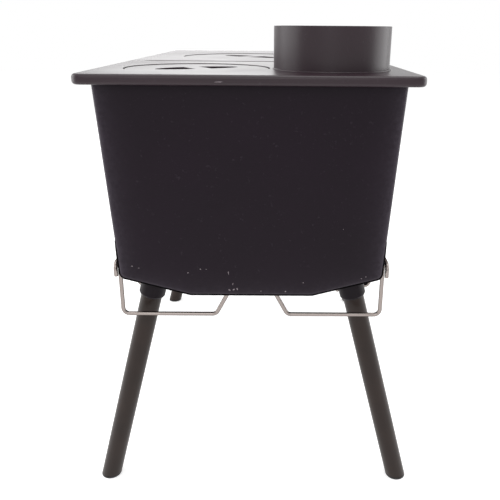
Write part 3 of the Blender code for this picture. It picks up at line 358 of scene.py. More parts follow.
def finish(name, mesh, body, material, nodes, thickness=0.0, edge=0.0):
    """A finished piece on its body: sheet thickness laid on inwards, edges eased, and flat faces lit as flat."""
    obj = bpy.data.objects.new(name, mesh)
    bpy.context.scene.collection.objects.link(obj)
    if thickness:
        solid = obj.modifiers.new("sheet", "SOLIDIFY")
        solid.thickness, solid.offset, solid.use_even_offset = thickness, -1.0, True
    if edge:
        bevel = obj.modifiers.new("eased edges", "BEVEL")
        bevel.width, bevel.segments, bevel.limit_method, bevel.angle_limit = edge, 2, "ANGLE", math.radians(40)
    baked(obj)
    obj.data.shade_smooth()
    obj.data.set_sharp_from_angle(angle=math.radians(46))
    weighted = obj.modifiers.new("flat faces", "WEIGHTED_NORMAL")
    weighted.keep_sharp = True
    baked(obj)
    obj.data.name = name
    obj.data.materials.clear()
    obj.data.materials.append(bpy.data.materials[material])
    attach(obj, body)
    if nodes:
        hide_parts(*nodes)
    return obj


def piece(name, patches, body, material, *nodes, thickness=0.0, edge=0.0, inside=None):
    """A finished piece from its patches, in place of the frame's nodes that are named."""
    return finish(name, skin(patches, inside), body, material, nodes, thickness, edge)


def frame_piece(name, source, body, material, edge=0.0):
    """A finished piece as its frame node gives it, with its triangles joined at their corners.

    Where its edges are eased, the triangles are first made into whole flat faces.
    """
    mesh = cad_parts[source].data.copy()
    bm = bmesh.new()
    bm.from_mesh(mesh)
    bmesh.ops.remove_doubles(bm, verts=bm.verts, dist=MERGE_DISTANCE)
    if edge:
        bmesh.ops.dissolve_limit(bm, angle_limit=math.radians(1.0), verts=bm.verts, edges=bm.edges)
    bm.to_mesh(mesh)
    bm.free()
    finish(name, mesh, body, material, [source], edge=edge)


def fittings(body, material, edge, *sources):
    """Flat fittings with eased edges, one for each frame node."""
    for source in sources:
        frame_piece(source + "_eased", source, body, material, edge)


# Top plate, lids and collar


def border(xs, ys):
    """The four sides of the rectangle on stations xs and ys, anticlockwise, each from corner to corner."""
    sides = ((xs, ys[:1]), (xs[-1:], ys), (xs[::-1], ys[-1:]), (xs[:1], ys[::-1]))
    return [np.stack(np.broadcast_arrays(x, y), -1) for x, y in sides]


def raised(flat, height):
    """Points (x, y) at their heights."""
    return np.concatenate([flat, height[..., None]], axis=-1)


def plate_height(x, y):
    """The plate's top surface: level, less the groove, whose sides and ends fall away as smooth steps."""
    low, high = GROOVE_FLOOR_HALF_WIDTH - GROOVE_EASE, GROOVE_HALF_WIDTH + GROOVE_EASE
    across = 1 - smooth_step(low, high, np.abs(y - GROOVE_Y))
    along = 1 - smooth_step(GROOVE_HALF_LENGTH - GROOVE_HALF_WIDTH, GROOVE_HALF_LENGTH, np.abs(x))
    return TOP - GROOVE_DEPTH * across * along


def holed_patch(xs, ys, centre, radius, edge):
    """Plate between a round hole and a rectangle: point (i, t) lies on the line from the centre to border point i.

    Next to the hole the height drops on a quarter circle of the edge's radius.
    """
    line = np.concatenate([side[:-1] for side in border(xs, ys)])
    reach = np.linalg.norm(line - centre, axis=1)[:, None]
    turn = np.linspace(0.0, np.pi / 2, 5)
    near = edge * (1 - np.cos(turn))
    share = np.linspace(0.0, 1.0, 9)[None, 1:]
    distance = np.concatenate([
        np.broadcast_to(radius + near, (len(line), len(near))), radius + edge + (reach - radius - edge) * share,
    ], axis=1)
    points = centre + unit(line - centre)[:, None] * distance[..., None]
    height = plate_height(points[..., 0], points[..., 1])
    height[:, :len(turn)] -= edge * (1 - np.sin(turn))
    return grid(raised(points, height), True)


def rim_patch(xs, ys):
    """The plate's rim: a profile of offset and drop carried round the rectangle and its quarter-round corners.

    The profile rolls over at the top and turns in by 70 degrees at the bottom.
    """
    arc = np.linspace(0.0, np.pi / 2, 9)[1:-1]
    base, angle = [], []
    for side, start in zip(border(xs, ys), np.arange(-1, 3) * np.pi / 2):
        base += [side, np.repeat(side[-1:], len(arc), 0)]
        angle += [np.full(len(side), start), start + arc]
    base, angle = np.concatenate(base), np.concatenate(angle)
    outward = np.stack([np.cos(angle), np.sin(angle)], -1)
    turn = np.linspace(0.0, np.pi / 2, 8)
    turn_in = np.linspace(0.0, math.radians(70), 7)
    straight = TOP - PLATE_LOW.z - PLATE_TURN_IN * math.sin(turn_in[-1])
    offset = np.concatenate([
        [0.0, 0.003], PLATE_CORNER - PLATE_BEND + PLATE_BEND * np.sin(turn),
        PLATE_CORNER - PLATE_TURN_IN * (1 - np.cos(turn_in)),
    ])
    drop = np.concatenate([
        [0.0, 0.0], PLATE_BEND * (1 - np.cos(turn)), straight + PLATE_TURN_IN * np.sin(turn_in),
    ])
    points = base[:, None] + outward[:, None] * offset[None, :, None]
    height = np.broadcast_to(TOP - drop, points.shape[:2])
    return grid(raised(points, height), True)


def plate_patches(edge):
    """The plate's upper skin: three holed rectangles, the groove's strip between them, and the rim round all."""
    half = PLATE_HIGH.x - PLATE_CORNER
    left, right = np.linspace(-half, PLATE_SPLIT_X, 37), np.linspace(PLATE_SPLIT_X, half, 41)
    xs = np.concatenate([left, right[1:]])
    strip = GROOVE_Y + np.linspace(-GROOVE_STRIP_HALF_WIDTH, GROOVE_STRIP_HALF_WIDTH, 13)
    front = np.linspace(FRONT_EDGE + PLATE_CORNER, strip[0], 73)
    rear = np.linspace(strip[-1], REAR_EDGE - PLATE_CORNER, 41)
    across, along = np.meshgrid(xs, strip, indexing="ij")
    return [
        holed_patch(xs, front, *LIDS["front_lid"][:2], edge),
        holed_patch(left, rear, COLLAR_CENTRE, COLLAR_RADIUS + GAP, edge),
        holed_patch(right, rear, *LIDS["rear_lid"][:2], edge),
        grid(np.stack([across, along, plate_height(across, along)], axis=-1)),
        rim_patch(xs, np.concatenate([front, strip[1:-1], rear])),
    ]


def lid_patches(centre, hole_radius, pocket, turn, crown):
    """A lid's upper skin: a ring from its round edge to the oval pocket, and the bridge across the pocket.

    Ring point (a, t) lies a share t from the oval (p cos a, w sin a) to the circle. The middle is slightly crowned.
    """
    radius = hole_radius - LID_SIDE_CLEARANCE
    place = Matrix.Translation((*centre, LID_TOP)) @ Matrix.Rotation(turn, 4, "Z")
    limit = math.acos(BRIDGE_HALF_WIDTH / pocket)
    over = np.linspace(limit, np.pi - limit, 9)
    side = np.linspace(-limit, limit, 41)
    angle = np.concatenate([side[:-1], over[:-1], side[:-1] + np.pi, over[:-1] + np.pi])
    oval = np.stack([pocket * np.cos(angle), POCKET_HALF_WIDTH * np.sin(angle)], -1)
    rim = radius * np.stack([np.cos(angle), np.sin(angle)], -1)
    share = (np.linspace(0.0, 1.0, 12) ** 1.2)[None, :, None]
    ring = between(oval[:, None], rim[:, None], share)
    over, share = over[:, None], np.linspace(-1.0, 1.0, 17)
    bridge = np.stack(np.broadcast_arrays(pocket * np.cos(over), POCKET_HALF_WIDTH * np.sin(over) * share), -1)
    patches = []
    for flat, closed in ((ring, True), (bridge, False)):
        height = crown * (1 - (np.linalg.norm(flat, axis=-1) / radius) ** 2)
        patches.append(grid(placed(raised(flat, height), place), closed))
    return patches


def cup_patch(centre, pocket, turn):
    """The pocket's cup: an oval (A + m) cos a, (B + m) sin a, whose offset m follows a bowl's section.

    At m = -B the oval has closed to a line, where the section starts outside and ends inside.
    """
    half_length, half_width = pocket + CUP_MARGIN + CUP_WALL, POCKET_HALF_WIDTH + CUP_MARGIN + CUP_WALL
    low, floor = -CUP_DEPTH, CUP_WALL - CUP_DEPTH
    offset, height = filleted([
        (-half_width, low), (0.0, low), (0.0, 0.0), (-CUP_WALL, 0.0), (-CUP_WALL, floor), (-half_width, floor),
    ], (0, 0.0035, 0.0003, 0.0003, 0.002, 0)).T
    angle = full_turn(72)
    points = np.stack(np.broadcast_arrays(
        (half_length + offset) * np.cos(angle), (half_width + offset) * np.sin(angle), height,
    ), axis=-1)
    place = Matrix.Translation((*centre, LID_TOP - LID_THICKNESS - GAP)) @ Matrix.Rotation(turn, 4, "Z")
    return grid(placed(points, place), True)


def seat_patch(centre, hole_radius):
    """The ring that a lid lies on, with a low flange against the plate and an eased inner edge."""
    flange = -PLATE_THICKNESS - GAP
    ledge = LID_TOP - TOP - LID_THICKNESS - GAP
    outer, inner = hole_radius + SEAT_FLANGE, hole_radius - SEAT_LEDGE
    radii, heights = filleted(
        [(outer, flange), (outer, ledge - SHEET), (inner, ledge - SHEET), (inner, ledge)], 0.0005, 3, closed=True,
    ).T
    return turned(radii, heights, Matrix.Translation((*centre, TOP)), steps=120)


def collar_patch():
    """The flue collar: a rolled tube with an eased lip and, on the door side, the low ridge of its seam.

    The ridge is a bell curve of the distance round the tube from the seam, and ripples a little up the tube.
    """
    steps = 180
    outer, inner = COLLAR_RADIUS, COLLAR_RADIUS - COLLAR_WALL
    radii, heights = filleted([
        (outer, -COLLAR_DEPTH), (outer, COLLAR_HEIGHT), (inner, COLLAR_HEIGHT), (inner, -COLLAR_DEPTH),
    ], 0.0007, 4, closed=True).T
    away = (full_turn(steps) - math.radians(250) + np.pi) % (2 * np.pi) - np.pi
    ridge = 0.0005 * np.exp(-(away * outer / 0.0022) ** 2) * (1 + 0.25 * np.sin(heights * 1500))
    outwards = np.where(radii > (outer + inner) / 2, 1.0, -1.0)
    radii = radii + ridge * outwards * (heights < COLLAR_HEIGHT - 0.002)
    return turned(radii, heights, Matrix.Translation((*COLLAR_CENTRE, TOP)), steps=steps)


# Firebox


def pan_outline(inset):
    """Corners of the firebox's section with its sides and floor moved in by the inset, from under the plate."""
    slope = math.tan(FLOOR_SLOPE)
    side = inset * math.hypot(1.0, WALL_LEAN)
    z = CORNER_Z + (inset / math.cos(FLOOR_SLOPE) - side * slope) / (1.0 - WALL_LEAN * slope)
    floor_x = FLOOR_HALF_WIDTH - inset * math.tan(FLOOR_SLOPE / 2)
    top = TOP - PLATE_THICKNESS - GAP
    half = np.array([(wall_x(top) - side, top), (wall_x(z) - side, z), (floor_x, FLOOR_Z + inset)])
    return np.concatenate([half, half[::-1] * (-1, 1)])


def pan_line():
    """Points along the pan's sides and floor, inside its bends, with the outward direction at each.

    The pan laps over the shell, so each of its corners is an arc about the centre of the shell's own.
    """
    corners = pan_outline(SHELL_BEND)
    side = unit(np.diff(corners, axis=0))
    normal = np.stack([-side[:, 1], side[:, 0]], -1)
    base, outward = [], []
    for i, count in enumerate((40, 20, 28, 20, 40)):
        share = np.linspace(0.0, 1.0, count)[:, None]
        base.append(between(corners[i], corners[i + 1], share))
        outward.append(np.repeat(normal[i][None], count, 0))
        if i < 4:
            turn = np.linspace(0.0, 1.0, 8)[1:-1, None]
            base.append(np.repeat(corners[i + 1][None], len(turn), 0))
            outward.append(unit(between(normal[i], normal[i + 1], turn)))
    base, outward = np.concatenate(base), np.concatenate(outward)
    return base + outward * (SHELL_BEND + DRAWN_SHEET - PAN_BEND), outward


def pan_points(flat, depth, face_y, facing):
    """Outline points (x, z) with their depth behind the face, as points in space."""
    return np.stack(np.broadcast_arrays(flat[..., 0], face_y - facing * depth, flat[..., 1]), axis=-1)


def pan_bend(face_y, facing):
    """The pan's edge: a flange that laps over the shell, and a quarter round of offset and depth to the face."""
    base, outward = pan_line()
    turn = np.linspace(0.0, np.pi / 2, 10)
    offset = np.concatenate([np.full(3, PAN_BEND), PAN_BEND * np.cos(turn)])
    depth = np.concatenate([np.linspace(PAN_FLANGE, PAN_FLANGE / 2, 3), PAN_BEND * (1 - np.sin(turn))])
    flat = base[:, None] + outward[:, None] * offset[None, :, None]
    return grid(pan_points(flat, depth, face_y, facing))


def seam_shadow_patch():
    """Painted shadow in the rear pan's lower seam: a black bar sunk 0.4 mm into its outside, 2 mm behind its face.

    Its radius is a smooth step of the depth below the middle of the side, a little uneven, and dies out there.
    """
    base, outward = pan_line()
    flat = base + outward * (PAN_BEND - 0.0004)
    share = smooth_step(0.002, 0.03, CORNER_Z + 0.048 - flat[:, 1]) * (1 + 0.06 * np.sin(flat[:, 0] * 900))
    laid = share > 0.1
    return bar(pan_points(flat, 0.002, BODY_REAR, 1)[laid], (0, 1, 0), SEAM_SHADOW_RADIUS * share[laid], 10)


def face_rise(flat, crown):
    """How far the pressed face stands out: crown times 1 - exp(-d / 8 mm) for the distance d to each bend."""
    corners = pan_outline(SHELL_BEND)
    rise = crown
    for start, end in zip(corners[:-1], corners[1:]):
        along = unit(end - start)
        away = np.abs((flat[..., 0] - start[0]) * along[1] - (flat[..., 1] - start[1]) * along[0])
        rise = rise * (1 - np.exp(-away / 0.008))
    return rise


def paint_bend_highlights(obj):
    """Writes a painted highlight along the pan's bends: 0.5 exp(-d / 2.6 mm) + 0.3 exp(-d / 9 mm), d inwards from a
    side.

    It is half as much along the floor, and the flange behind the bend gets no painted highlight.
    """
    points = np.empty(len(obj.data.vertices) * 3)
    obj.data.vertices.foreach_get("co", points)
    points = points.reshape(-1, 3)
    corners = pan_outline(-DRAWN_SHEET)
    along = unit(np.diff(corners, axis=0))
    offset = points[:, None, ::2] - corners[None, :-1]
    away = np.abs(offset[..., 0] * along[:, 1] - offset[..., 1] * along[:, 0])
    highlighted = (0.5 * np.exp(-away / 0.0026) + 0.3 * np.exp(-away / 0.009)) * (1.0, 0.5, 0.5, 0.5, 1.0)
    highlighted = highlighted.max(axis=1) * smooth_step(BODY_REAR - 0.006, BODY_REAR - 0.004, points[:, 1])
    obj.data.attributes.new("highlighted", "FLOAT", "POINT").data.foreach_set("value", highlighted)


def rear_face(crown):
    """The plain face: each line runs from the bend to the top edge, both taken in order from side to side."""
    base, _ = pan_line()
    length = lengths_along(base)
    x = base[0, 0] + (base[-1, 0] - base[0, 0]) * length / length[-1]
    top = np.stack([x, np.full(len(base), base[0, 1])], -1)
    share = (np.linspace(0.0, 1.0, 49) ** 1.15)[None, :, None]
    flat = between(base[:, None], top[:, None], share)
    rise = face_rise(flat, crown) * smooth_step(0.0, 0.02, share[..., 0])
    return grid(pan_points(flat, -rise, BODY_REAR, 1))


def rounded_reach(direction, half_width, half_height, radius):
    """Distance from the centre of a round-cornered rectangle to its edge along each direction.

    It is the nearer straight side, or where the ray leaves the corner's circle.
    """
    half = np.array((half_width, half_height))
    straight = (half / np.maximum(np.abs(direction), 1e-9)).min(axis=1)
    in_corner = (np.abs(direction * straight[:, None]) > half - radius).all(axis=1)
    centre = np.sign(direction) * (half - radius)
    along = (direction * centre).sum(axis=1)
    inside = np.maximum(along ** 2 - (centre ** 2).sum(axis=1) + radius ** 2, 0.0)
    return np.where(in_corner, along + np.sqrt(inside), straight)


def front_face():
    """The face with the door opening: each line runs from the opening's edge straight out to the pan's bend."""
    base, _ = pan_line()
    share = np.linspace(0.0, 1.0, 62)[1:-1, None]
    outline = np.concatenate([base, between(base[-1], base[0], share)])
    centre = np.array((0.0, DOOR_Z))
    direction = unit(outline - centre)
    reach = rounded_reach(direction, OPENING_HALF_WIDTH, OPENING_HALF_HEIGHT, OPENING_CORNER)
    edge = centre + direction * reach[:, None]
    share = np.linspace(0.0, 1.0, 14)[None, :, None]
    flat = between(edge[:, None], outline[:, None], share)
    return grid(pan_points(flat, 0.0, BODY_FRONT, -1), True)


def shell_patch():
    """The folded sheet's outer face: its section, each fold an arc, drawn out between the two pans' flanges."""
    top = TOP - PLATE_THICKNESS - GAP - SHEET
    half = np.array([
        (wall_x(top) + TOP_FLANGE, top), (wall_x(top), top),
        (CORNER_HALF_WIDTH, CORNER_Z), (FLOOR_HALF_WIDTH, FLOOR_Z),
    ])
    radii = (0, TOP_FLANGE_BEND, SHELL_BEND, SHELL_BEND)
    section = filleted(np.concatenate([half, half[::-1] * (-1, 1)]), (*radii, *radii[::-1]), 8)
    ys = np.linspace(BODY_FRONT + PAN_LAP, BODY_REAR - PAN_LAP, 31)
    return grid(np.stack(np.broadcast_arrays(section[:, :1], ys, section[:, 1:]), axis=-1))


# Paint chips on the rear panel, and one on the plate's rim: x, z, half width and half height, from millimetres
CHIPS = np.array((
    (112.8, 272.4, 0.7, 0.5), (106.6, 270.5, 0.5, 0.35), (60.0, 266.0, 0.75, 0.45), (48.1, 269.8, 0.7, 0.5),
    (42.5, 269.8, 0.4, 0.35), (21.6, 266.2, 0.3, 1.8), (17.5, 254.6, 0.35, 1.2), (20.9, 248.0, 0.9, 0.8),
    (16.8, 248.5, 0.8, 0.9), (13.5, 249.4, 0.8, 1.1), (-9.4, 247.1, 0.45, 0.4), (-33.0, 246.7, 0.45, 0.9),
    (-49.9, 256.3, 0.55, 0.5), (-85.9, 310.8, 0.3, 0.3), (-109.7, 262.6, 0.5, 0.45), (-105.5, 260.9, 0.5, 0.4),
)) / 1000
RIM_CHIP = np.array((25.5, 444.3, 4.0, 0.25)) / 1000


def chip_patch(x, z, half_width, half_height, y):
    """A chip: a low mound of ragged reach 1 + 0.3 sin(2a + 900 x) + 0.2 sin(5a + 1300 z) times its half sizes."""
    angle = full_turn(20)
    ragged = 1 + 0.3 * np.sin(2 * angle + 900 * x) + 0.2 * np.sin(5 * angle + 1300 * z)
    reach = ragged * (0.0, 0.5, 0.85, 1.0, 1.0, 0.0)
    rise = np.array((0.00008, 0.00007, 0.00005, 0.0, -0.0002, -0.0002))
    points = np.stack(np.broadcast_arrays(
        x + half_width * reach * np.cos(angle), y + rise, z + half_height * reach * np.sin(angle),
    ), axis=-1)
    return grid(points, True)


# Legs


def leg_frame(side, end):
    """Axes on the sloped floor's underside, with Z up the leg: a turn by the floor's slope about Y."""
    drop = (CORNER_HALF_WIDTH - LEG_HALF_SPACING) * math.tan(FLOOR_SLOPE)
    place = Matrix.Translation((side * LEG_HALF_SPACING, MIDDLE + end * LEG_Y, CORNER_Z - drop))
    return place @ Matrix.Rotation(-side * FLOOR_SLOPE, 4, "Y")


def level_height(place, radius, z, angle):
    """Height up the leg at which a point of that radius and angle lies at z above the ground."""
    place = np.array(place)
    return (z - place[2, 3] - place[2, 0] * radius * np.cos(angle)) / place[2, 2]


def leg_patch(place, pitch):
    """The leg: threaded pin, shoulder and tube, cut level at the foot.

    The thread is a ramp of angle / 2 pi + height / pitch, folded to a triangle wave, so it winds up the pin.
    """
    steps = 64
    angle = full_turn(steps)
    shoulder = -SOCKET_LENGTH - GAP
    pin_end = shoulder + LEG_PIN_LENGTH
    pin = np.linspace(pin_end - 0.0005, shoulder + 0.0015, 84)
    wave = np.abs(((pin / pitch - angle / (2 * np.pi)) % 1.0) * 2 - 1)
    fade = smooth_step(0.0, 0.0015, pin_end - pin) * smooth_step(0.0, 0.003, pin - shoulder - 0.0015)
    thread = LEG_PIN_RADIUS - 0.0011 * wave * (0.25 + 0.75 * fade)
    foot, foot_in = (level_height(place, radius, PLUG_FLANGE + GAP, angle) for radius in (LEG_RADIUS, LEG_BORE))
    start = shoulder - 0.0006
    profile = (
        (LEG_BORE, pin_end), (LEG_PIN_RADIUS - 0.0012, pin_end), (thread, pin), (LEG_PIN_RADIUS - 0.001, shoulder),
        (LEG_RADIUS - 0.0005, shoulder), (LEG_RADIUS - 0.0001, shoulder - 0.0002),
        (LEG_RADIUS, start + (foot + 0.0003 - start) * np.linspace(0.0, 1.0, 24)),
        (LEG_RADIUS - 0.0003, foot), (LEG_BORE, foot_in),
    )
    radii, heights = zip(*(np.broadcast_arrays(radius, height, angle)[:2] for radius, height in profile))
    return turned(np.hstack(radii), np.hstack(heights), place, steps=steps)


def plug_patch(place):
    """The foot plug: a thin flange as wide as the tube, its sole level and round-edged, and a stub up the bore."""
    stub, ease = LEG_BORE - GAP, 0.0003
    section = (
        (0.0, 0.0), (0.006, 0.0), (LEG_RADIUS - 0.001, 0.0), (LEG_RADIUS - ease, ease), (LEG_RADIUS, 0.001),
        (LEG_RADIUS, PLUG_FLANGE - ease), (LEG_RADIUS - ease, PLUG_FLANGE), (stub, PLUG_FLANGE),
        (stub, 0.009), (stub - 0.001, 0.01), (0.0, 0.01),
    )
    steps = 64
    heights = np.hstack([level_height(place, radius, z, full_turn(steps)) for radius, z in section])
    return turned([radius for radius, _ in section], heights, place, ring=False, steps=steps)


def socket_patch(place):
    """The leg's socket: a turned ring, slightly waisted under its weld, with a skirt over the leg's shoulder."""
    bore, skirt = LEG_PIN_RADIUS + GAP, LEG_RADIUS + 0.0004
    shoulder, high = -SOCKET_LENGTH, -GAP
    low = shoulder - SOCKET_SKIRT
    radii, heights = filleted([
        (SOCKET_RADIUS - 0.0002, high), (SOCKET_RADIUS - 0.0006, -0.006), (SOCKET_RADIUS, -0.014),
        (SOCKET_RADIUS, low + 0.002), (SOCKET_RADIUS - 0.0012, low), (skirt, low), (skirt, shoulder),
        (bore, shoulder), (bore, high),
    ], 0.0003, 4, closed=True).T
    return turned(radii, heights, place, steps=64)


# Racks


def rack_path(side, y):
    """A cross wire's line: down beside the hinge rod, under the floor, and up to its free tip."""
    corners = (
        (RACK_STRAND_X, RACK_HINGE_Z), (RACK_STRAND_X, RACK_WIRE_Z), (RACK_TIP_BEND_X, RACK_WIRE_Z),
        (RACK_TIP_END_X, RACK_TIP_Z),
    )
    return filleted([(side * x, y, z) for x, z in corners], RACK_BEND, 10)


def rack_rod_places():
    """Where the long rods cross the cross wires, as (x, z)."""
    pitch = 2 * WIRE_RADIUS - WELD_SINK
    inner, outer = RACK_TIP_BEND_X + RACK_BEND, RACK_STRAND_X - RACK_BEND - 2 * WIRE_RADIUS
    flat = [(x, RACK_WIRE_Z - pitch) for x in np.linspace(inner, outer, RACK_LONG_RODS)]
    bend, tip = np.array((RACK_TIP_BEND_X, RACK_WIRE_Z)), np.array((RACK_TIP_END_X, RACK_TIP_Z))
    rise = unit(tip - bend)
    return [*flat, bend + RACK_TIP_ROD_AT * (tip - bend) + np.array((-rise[1], rise[0])) * pitch]


def rack_grid_patches(side, sides):
    """Cross wires, long rods and a flattened spot weld wherever two of them meet."""
    ys = MIDDLE + (np.arange(RACK_CROSS_WIRES) - (RACK_CROSS_WIRES - 1) / 2) * RACK_CROSS_PITCH
    patches = [bar(rack_path(side, y), (0, 1, 0), WIRE_RADIUS, sides) for y in ys]
    for x, z in rack_rod_places():
        rod = [(side * x, ys[0] - RACK_OVERRUN, z), (side * x, ys[-1] + RACK_OVERRUN, z)]
        patches.append(bar(rod, (1, 0, 0), WIRE_RADIUS, sides))
        patches += [nugget((side * x, y, z + 0.0017)) for y in ys]
    return patches


# Knob and grip


def turned_to_door(section, centre):
    """A turned piece whose axis runs towards the door side, from its (radius, length) section."""
    return turned(section[:, 0], section[:, 1], towards_door(centre), ring=False, steps=48)


def coil_patch():
    """The grip's coil: a helix round the rod, centre + R (cos a, 0, sin a), and a pitch further along per turn."""
    _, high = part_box("latch_coil")
    angle = np.linspace(0.0, 2 * np.pi * COIL_TURNS, COIL_TURNS * 28 + 1)
    spoke = np.stack([np.cos(angle), 0 * angle, np.sin(angle)], -1)
    path = np.array((GRIP_X, high.y - COIL_WIRE_RADIUS, GRIP_Z)) + COIL_RADIUS * spoke
    path[:, 1] -= COIL_PITCH * angle / (2 * np.pi)
    return bar(path, spoke, COIL_WIRE_RADIUS, 12)


# Finishes

SPRAYED = "Silicone heat paint, sprayed"
SATIN = "Silicone heat paint, satin"
CHIPPED = "Primer bared by chips"
# Finish of the black strip of painted shadow in the rear pan's lower seam
SEAM_SHADOW = "Stove cement, dried"
TUBE = "Stoving paint on steel tube"
SOCKET = "Stoving paint on sockets"
WIRE = "Stainless wire, drawn bright"
STEEL = "Zinc plated steel, rolled"
PLASTIC = "Polyethylene, moulded black"


def node(tree, kind, inputs=None, **settings):
    """Adds a node; a socket given as an input's value is linked to it, and any other value is set on it."""
    made = tree.nodes.new(kind)
    for name, value in settings.items():
        setattr(made, name, value)
    for key, value in (inputs or {}).items():
        if isinstance(value, bpy.types.NodeSocket):
            tree.links.new(value, made.inputs[key])
        else:
            made.inputs[key].default_value = value
    return made


def empty_tree(owner):
    """The cleared node tree of a material or world."""
    owner.use_nodes = True
    owner.node_tree.nodes.clear()
    return owner.node_tree


def new_finish(name):
    """A material's empty tree, with the object's own coordinates to lay its pattern on."""
    tree = empty_tree(bpy.data.materials.get(name) or bpy.data.materials.new(name))
    return tree, node(tree, "ShaderNodeTexCoord").outputs["Object"]


def tone(colour, gain=1.0):
    """A colour made darker or lighter, with its alpha."""
    return (*[gain * channel for channel in colour], 1.0)


def shade(tree, colour, roughness, height, bump, **constants):
    """Closes a finish: a Principled shader with its bump, and its constant values on its own sockets."""
    raised = node(tree, "ShaderNodeBump", {"Height": height, "Distance": bump, "Strength": 1.0})
    shader = node(tree, "ShaderNodeBsdfPrincipled", {
        "Base Color": colour, "Roughness": roughness, "Normal": raised.outputs["Normal"],
        **{key.replace("_", " "): value for key, value in constants.items()},
    })
    node(tree, "ShaderNodeOutputMaterial", {"Surface": shader.outputs["BSDF"]})


def heat_paint(name, colour, dust_and_highlight, roughness, specular):
    """Sprayed silicone heat paint: matt near-black with a faint purple cast and a fine dry grain.

    Clouds 150 mm across shift it a little. Dust lies over them in spots a few millimetres across, and the paint
    is pale as a painted highlight where a piece's attribute asks for one. The real grain is about 0.2 mm, drawn at
    1.2 mm so that it shows.
    """
    tree, place = new_finish(name)
    clouds = node(tree, "ShaderNodeTexNoise", {"Vector": place, "Scale": 7.0, "Detail": 3.0})
    grain = node(tree, "ShaderNodeTexNoise", {"Vector": place, "Scale": 830.0, "Detail": 2.0, "Roughness": 0.6})
    specks = node(tree, "ShaderNodeTexNoise", {"Vector": place, "Scale": 240.0, "Detail": 4.0, "Roughness": 0.7})
    dusty = node(tree, "ShaderNodeMapRange", {
        "Value": specks.outputs["Fac"], "From Min": 0.62, "From Max": 0.8, "To Min": 0.0, "To Max": 0.22,
    })
    # The pale colour also paints a highlight along the rear pan's bends, as far as the piece's attribute says
    highlighted = node(tree, "ShaderNodeAttribute", attribute_name="highlighted")
    patchy = node(tree, "ShaderNodeMath", {
        0: highlighted.outputs["Fac"], 1: node(tree, "ShaderNodeMapRange", {
            "Value": specks.outputs["Fac"], "From Min": 0.3, "From Max": 0.7, "To Min": 0.6, "To Max": 1.3,
        }).outputs["Result"],
    }, operation="MULTIPLY")
    pale = node(tree, "ShaderNodeMath", {
        0: patchy.outputs["Value"], 1: dusty.outputs["Result"],
    }, operation="MAXIMUM", use_clamp=True)
    base = node(tree, "ShaderNodeValToRGB", {"Fac": clouds.outputs["Fac"]})
    low, high = base.color_ramp.elements
    low.position, high.position = 0.3, 0.7
    low.color, high.color = tone(colour, 0.8), tone(colour, 1.22)
    mixed = node(tree, "ShaderNodeMix", {
        "Factor": pale.outputs["Value"], "A": base.outputs["Color"], "B": tone(dust_and_highlight),
    }, data_type="RGBA")
    rough = node(tree, "ShaderNodeMapRange", {
        "Value": clouds.outputs["Fac"], "From Min": 0.3, "From Max": 0.7,
        "To Min": roughness - 0.05, "To Max": roughness + 0.05,
    })
    shade(tree, mixed.outputs["Result"], rough.outputs["Result"], grain.outputs["Fac"], 0.00006,
          Specular_IOR_Level=specular)


def tube_paint(name, colour, roughness, specular):
    """Stoving paint on tube and sockets: satin and brown-black, the long draw marks just showing through it."""
    tree, place = new_finish(name)
    stretched = node(tree, "ShaderNodeMapping", {"Vector": place, "Scale": (900.0, 900.0, 30.0)})
    marks = node(tree, "ShaderNodeTexNoise", {"Vector": stretched.outputs["Vector"], "Scale": 1.0, "Detail": 3.0})
    clouds = node(tree, "ShaderNodeTexNoise", {"Vector": place, "Scale": 35.0, "Detail": 4.0})
    base = node(tree, "ShaderNodeValToRGB", {"Fac": clouds.outputs["Fac"]})
    low, high = base.color_ramp.elements
    low.position, high.position = 0.35, 0.68
    low.color, high.color = tone(colour, 0.85), tone(colour, 1.2)
    rough = node(tree, "ShaderNodeMapRange", {
        "Value": marks.outputs["Fac"], "To Min": roughness - 0.06, "To Max": roughness + 0.06,
    })
    shade(tree, base.outputs["Color"], rough.outputs["Result"], marks.outputs["Fac"], 0.00005,
          Specular_IOR_Level=specular)


def drawn_wire(name, colour, edge, roughness):
    """Stainless wire, drawn bright: a mirror-like metal whose die lines blur it a little, and duller patches.

    Its tint at grazing angles is darker, which draws the thin dark line along both sides of each wire.
    """
    tree, place = new_finish(name)
    lines = node(tree, "ShaderNodeTexNoise", {"Vector": place, "Scale": 420.0, "Detail": 2.0})
    patches = node(tree, "ShaderNodeTexNoise", {"Vector": place, "Scale": 60.0, "Detail": 3.0})
    rough = node(tree, "ShaderNodeMapRange", {
        "Value": patches.outputs["Fac"], "From Min": 0.3, "From Max": 0.7,
        "To Min": roughness * 0.7, "To Max": roughness * 1.5,
    })
    base = node(tree, "ShaderNodeMix", {
        "Factor": patches.outputs["Fac"], "A": tone(colour, 0.86), "B": tone(colour),
    }, data_type="RGBA")
    shade(tree, base.outputs["Result"], rough.outputs["Result"], lines.outputs["Fac"], 0.00001, Metallic=1.0,
          Specular_Tint=tone(edge))


def plated_steel(name, colour, roughness):
    """Zinc plated steel: a soft grey metal with faint cloudy spangle about 4 mm across, and fine rolling marks."""
    tree, place = new_finish(name)
    spangle = node(tree, "ShaderNodeTexVoronoi", {"Vector": place, "Scale": 260.0, "Randomness": 1.0})
    marks = node(tree, "ShaderNodeTexNoise", {"Vector": place, "Scale": 700.0, "Detail": 3.0})
    base = node(tree, "ShaderNodeMix", {
        "Factor": spangle.outputs["Distance"], "A": tone(colour, 0.78), "B": tone(colour),
    }, data_type="RGBA")
    rough = node(tree, "ShaderNodeMapRange", {
        "Value": marks.outputs["Fac"], "To Min": roughness - 0.08, "To Max": roughness + 0.1,
    })
    shade(tree, base.outputs["Result"], rough.outputs["Result"], marks.outputs["Fac"], 0.00002, Metallic=1.0)


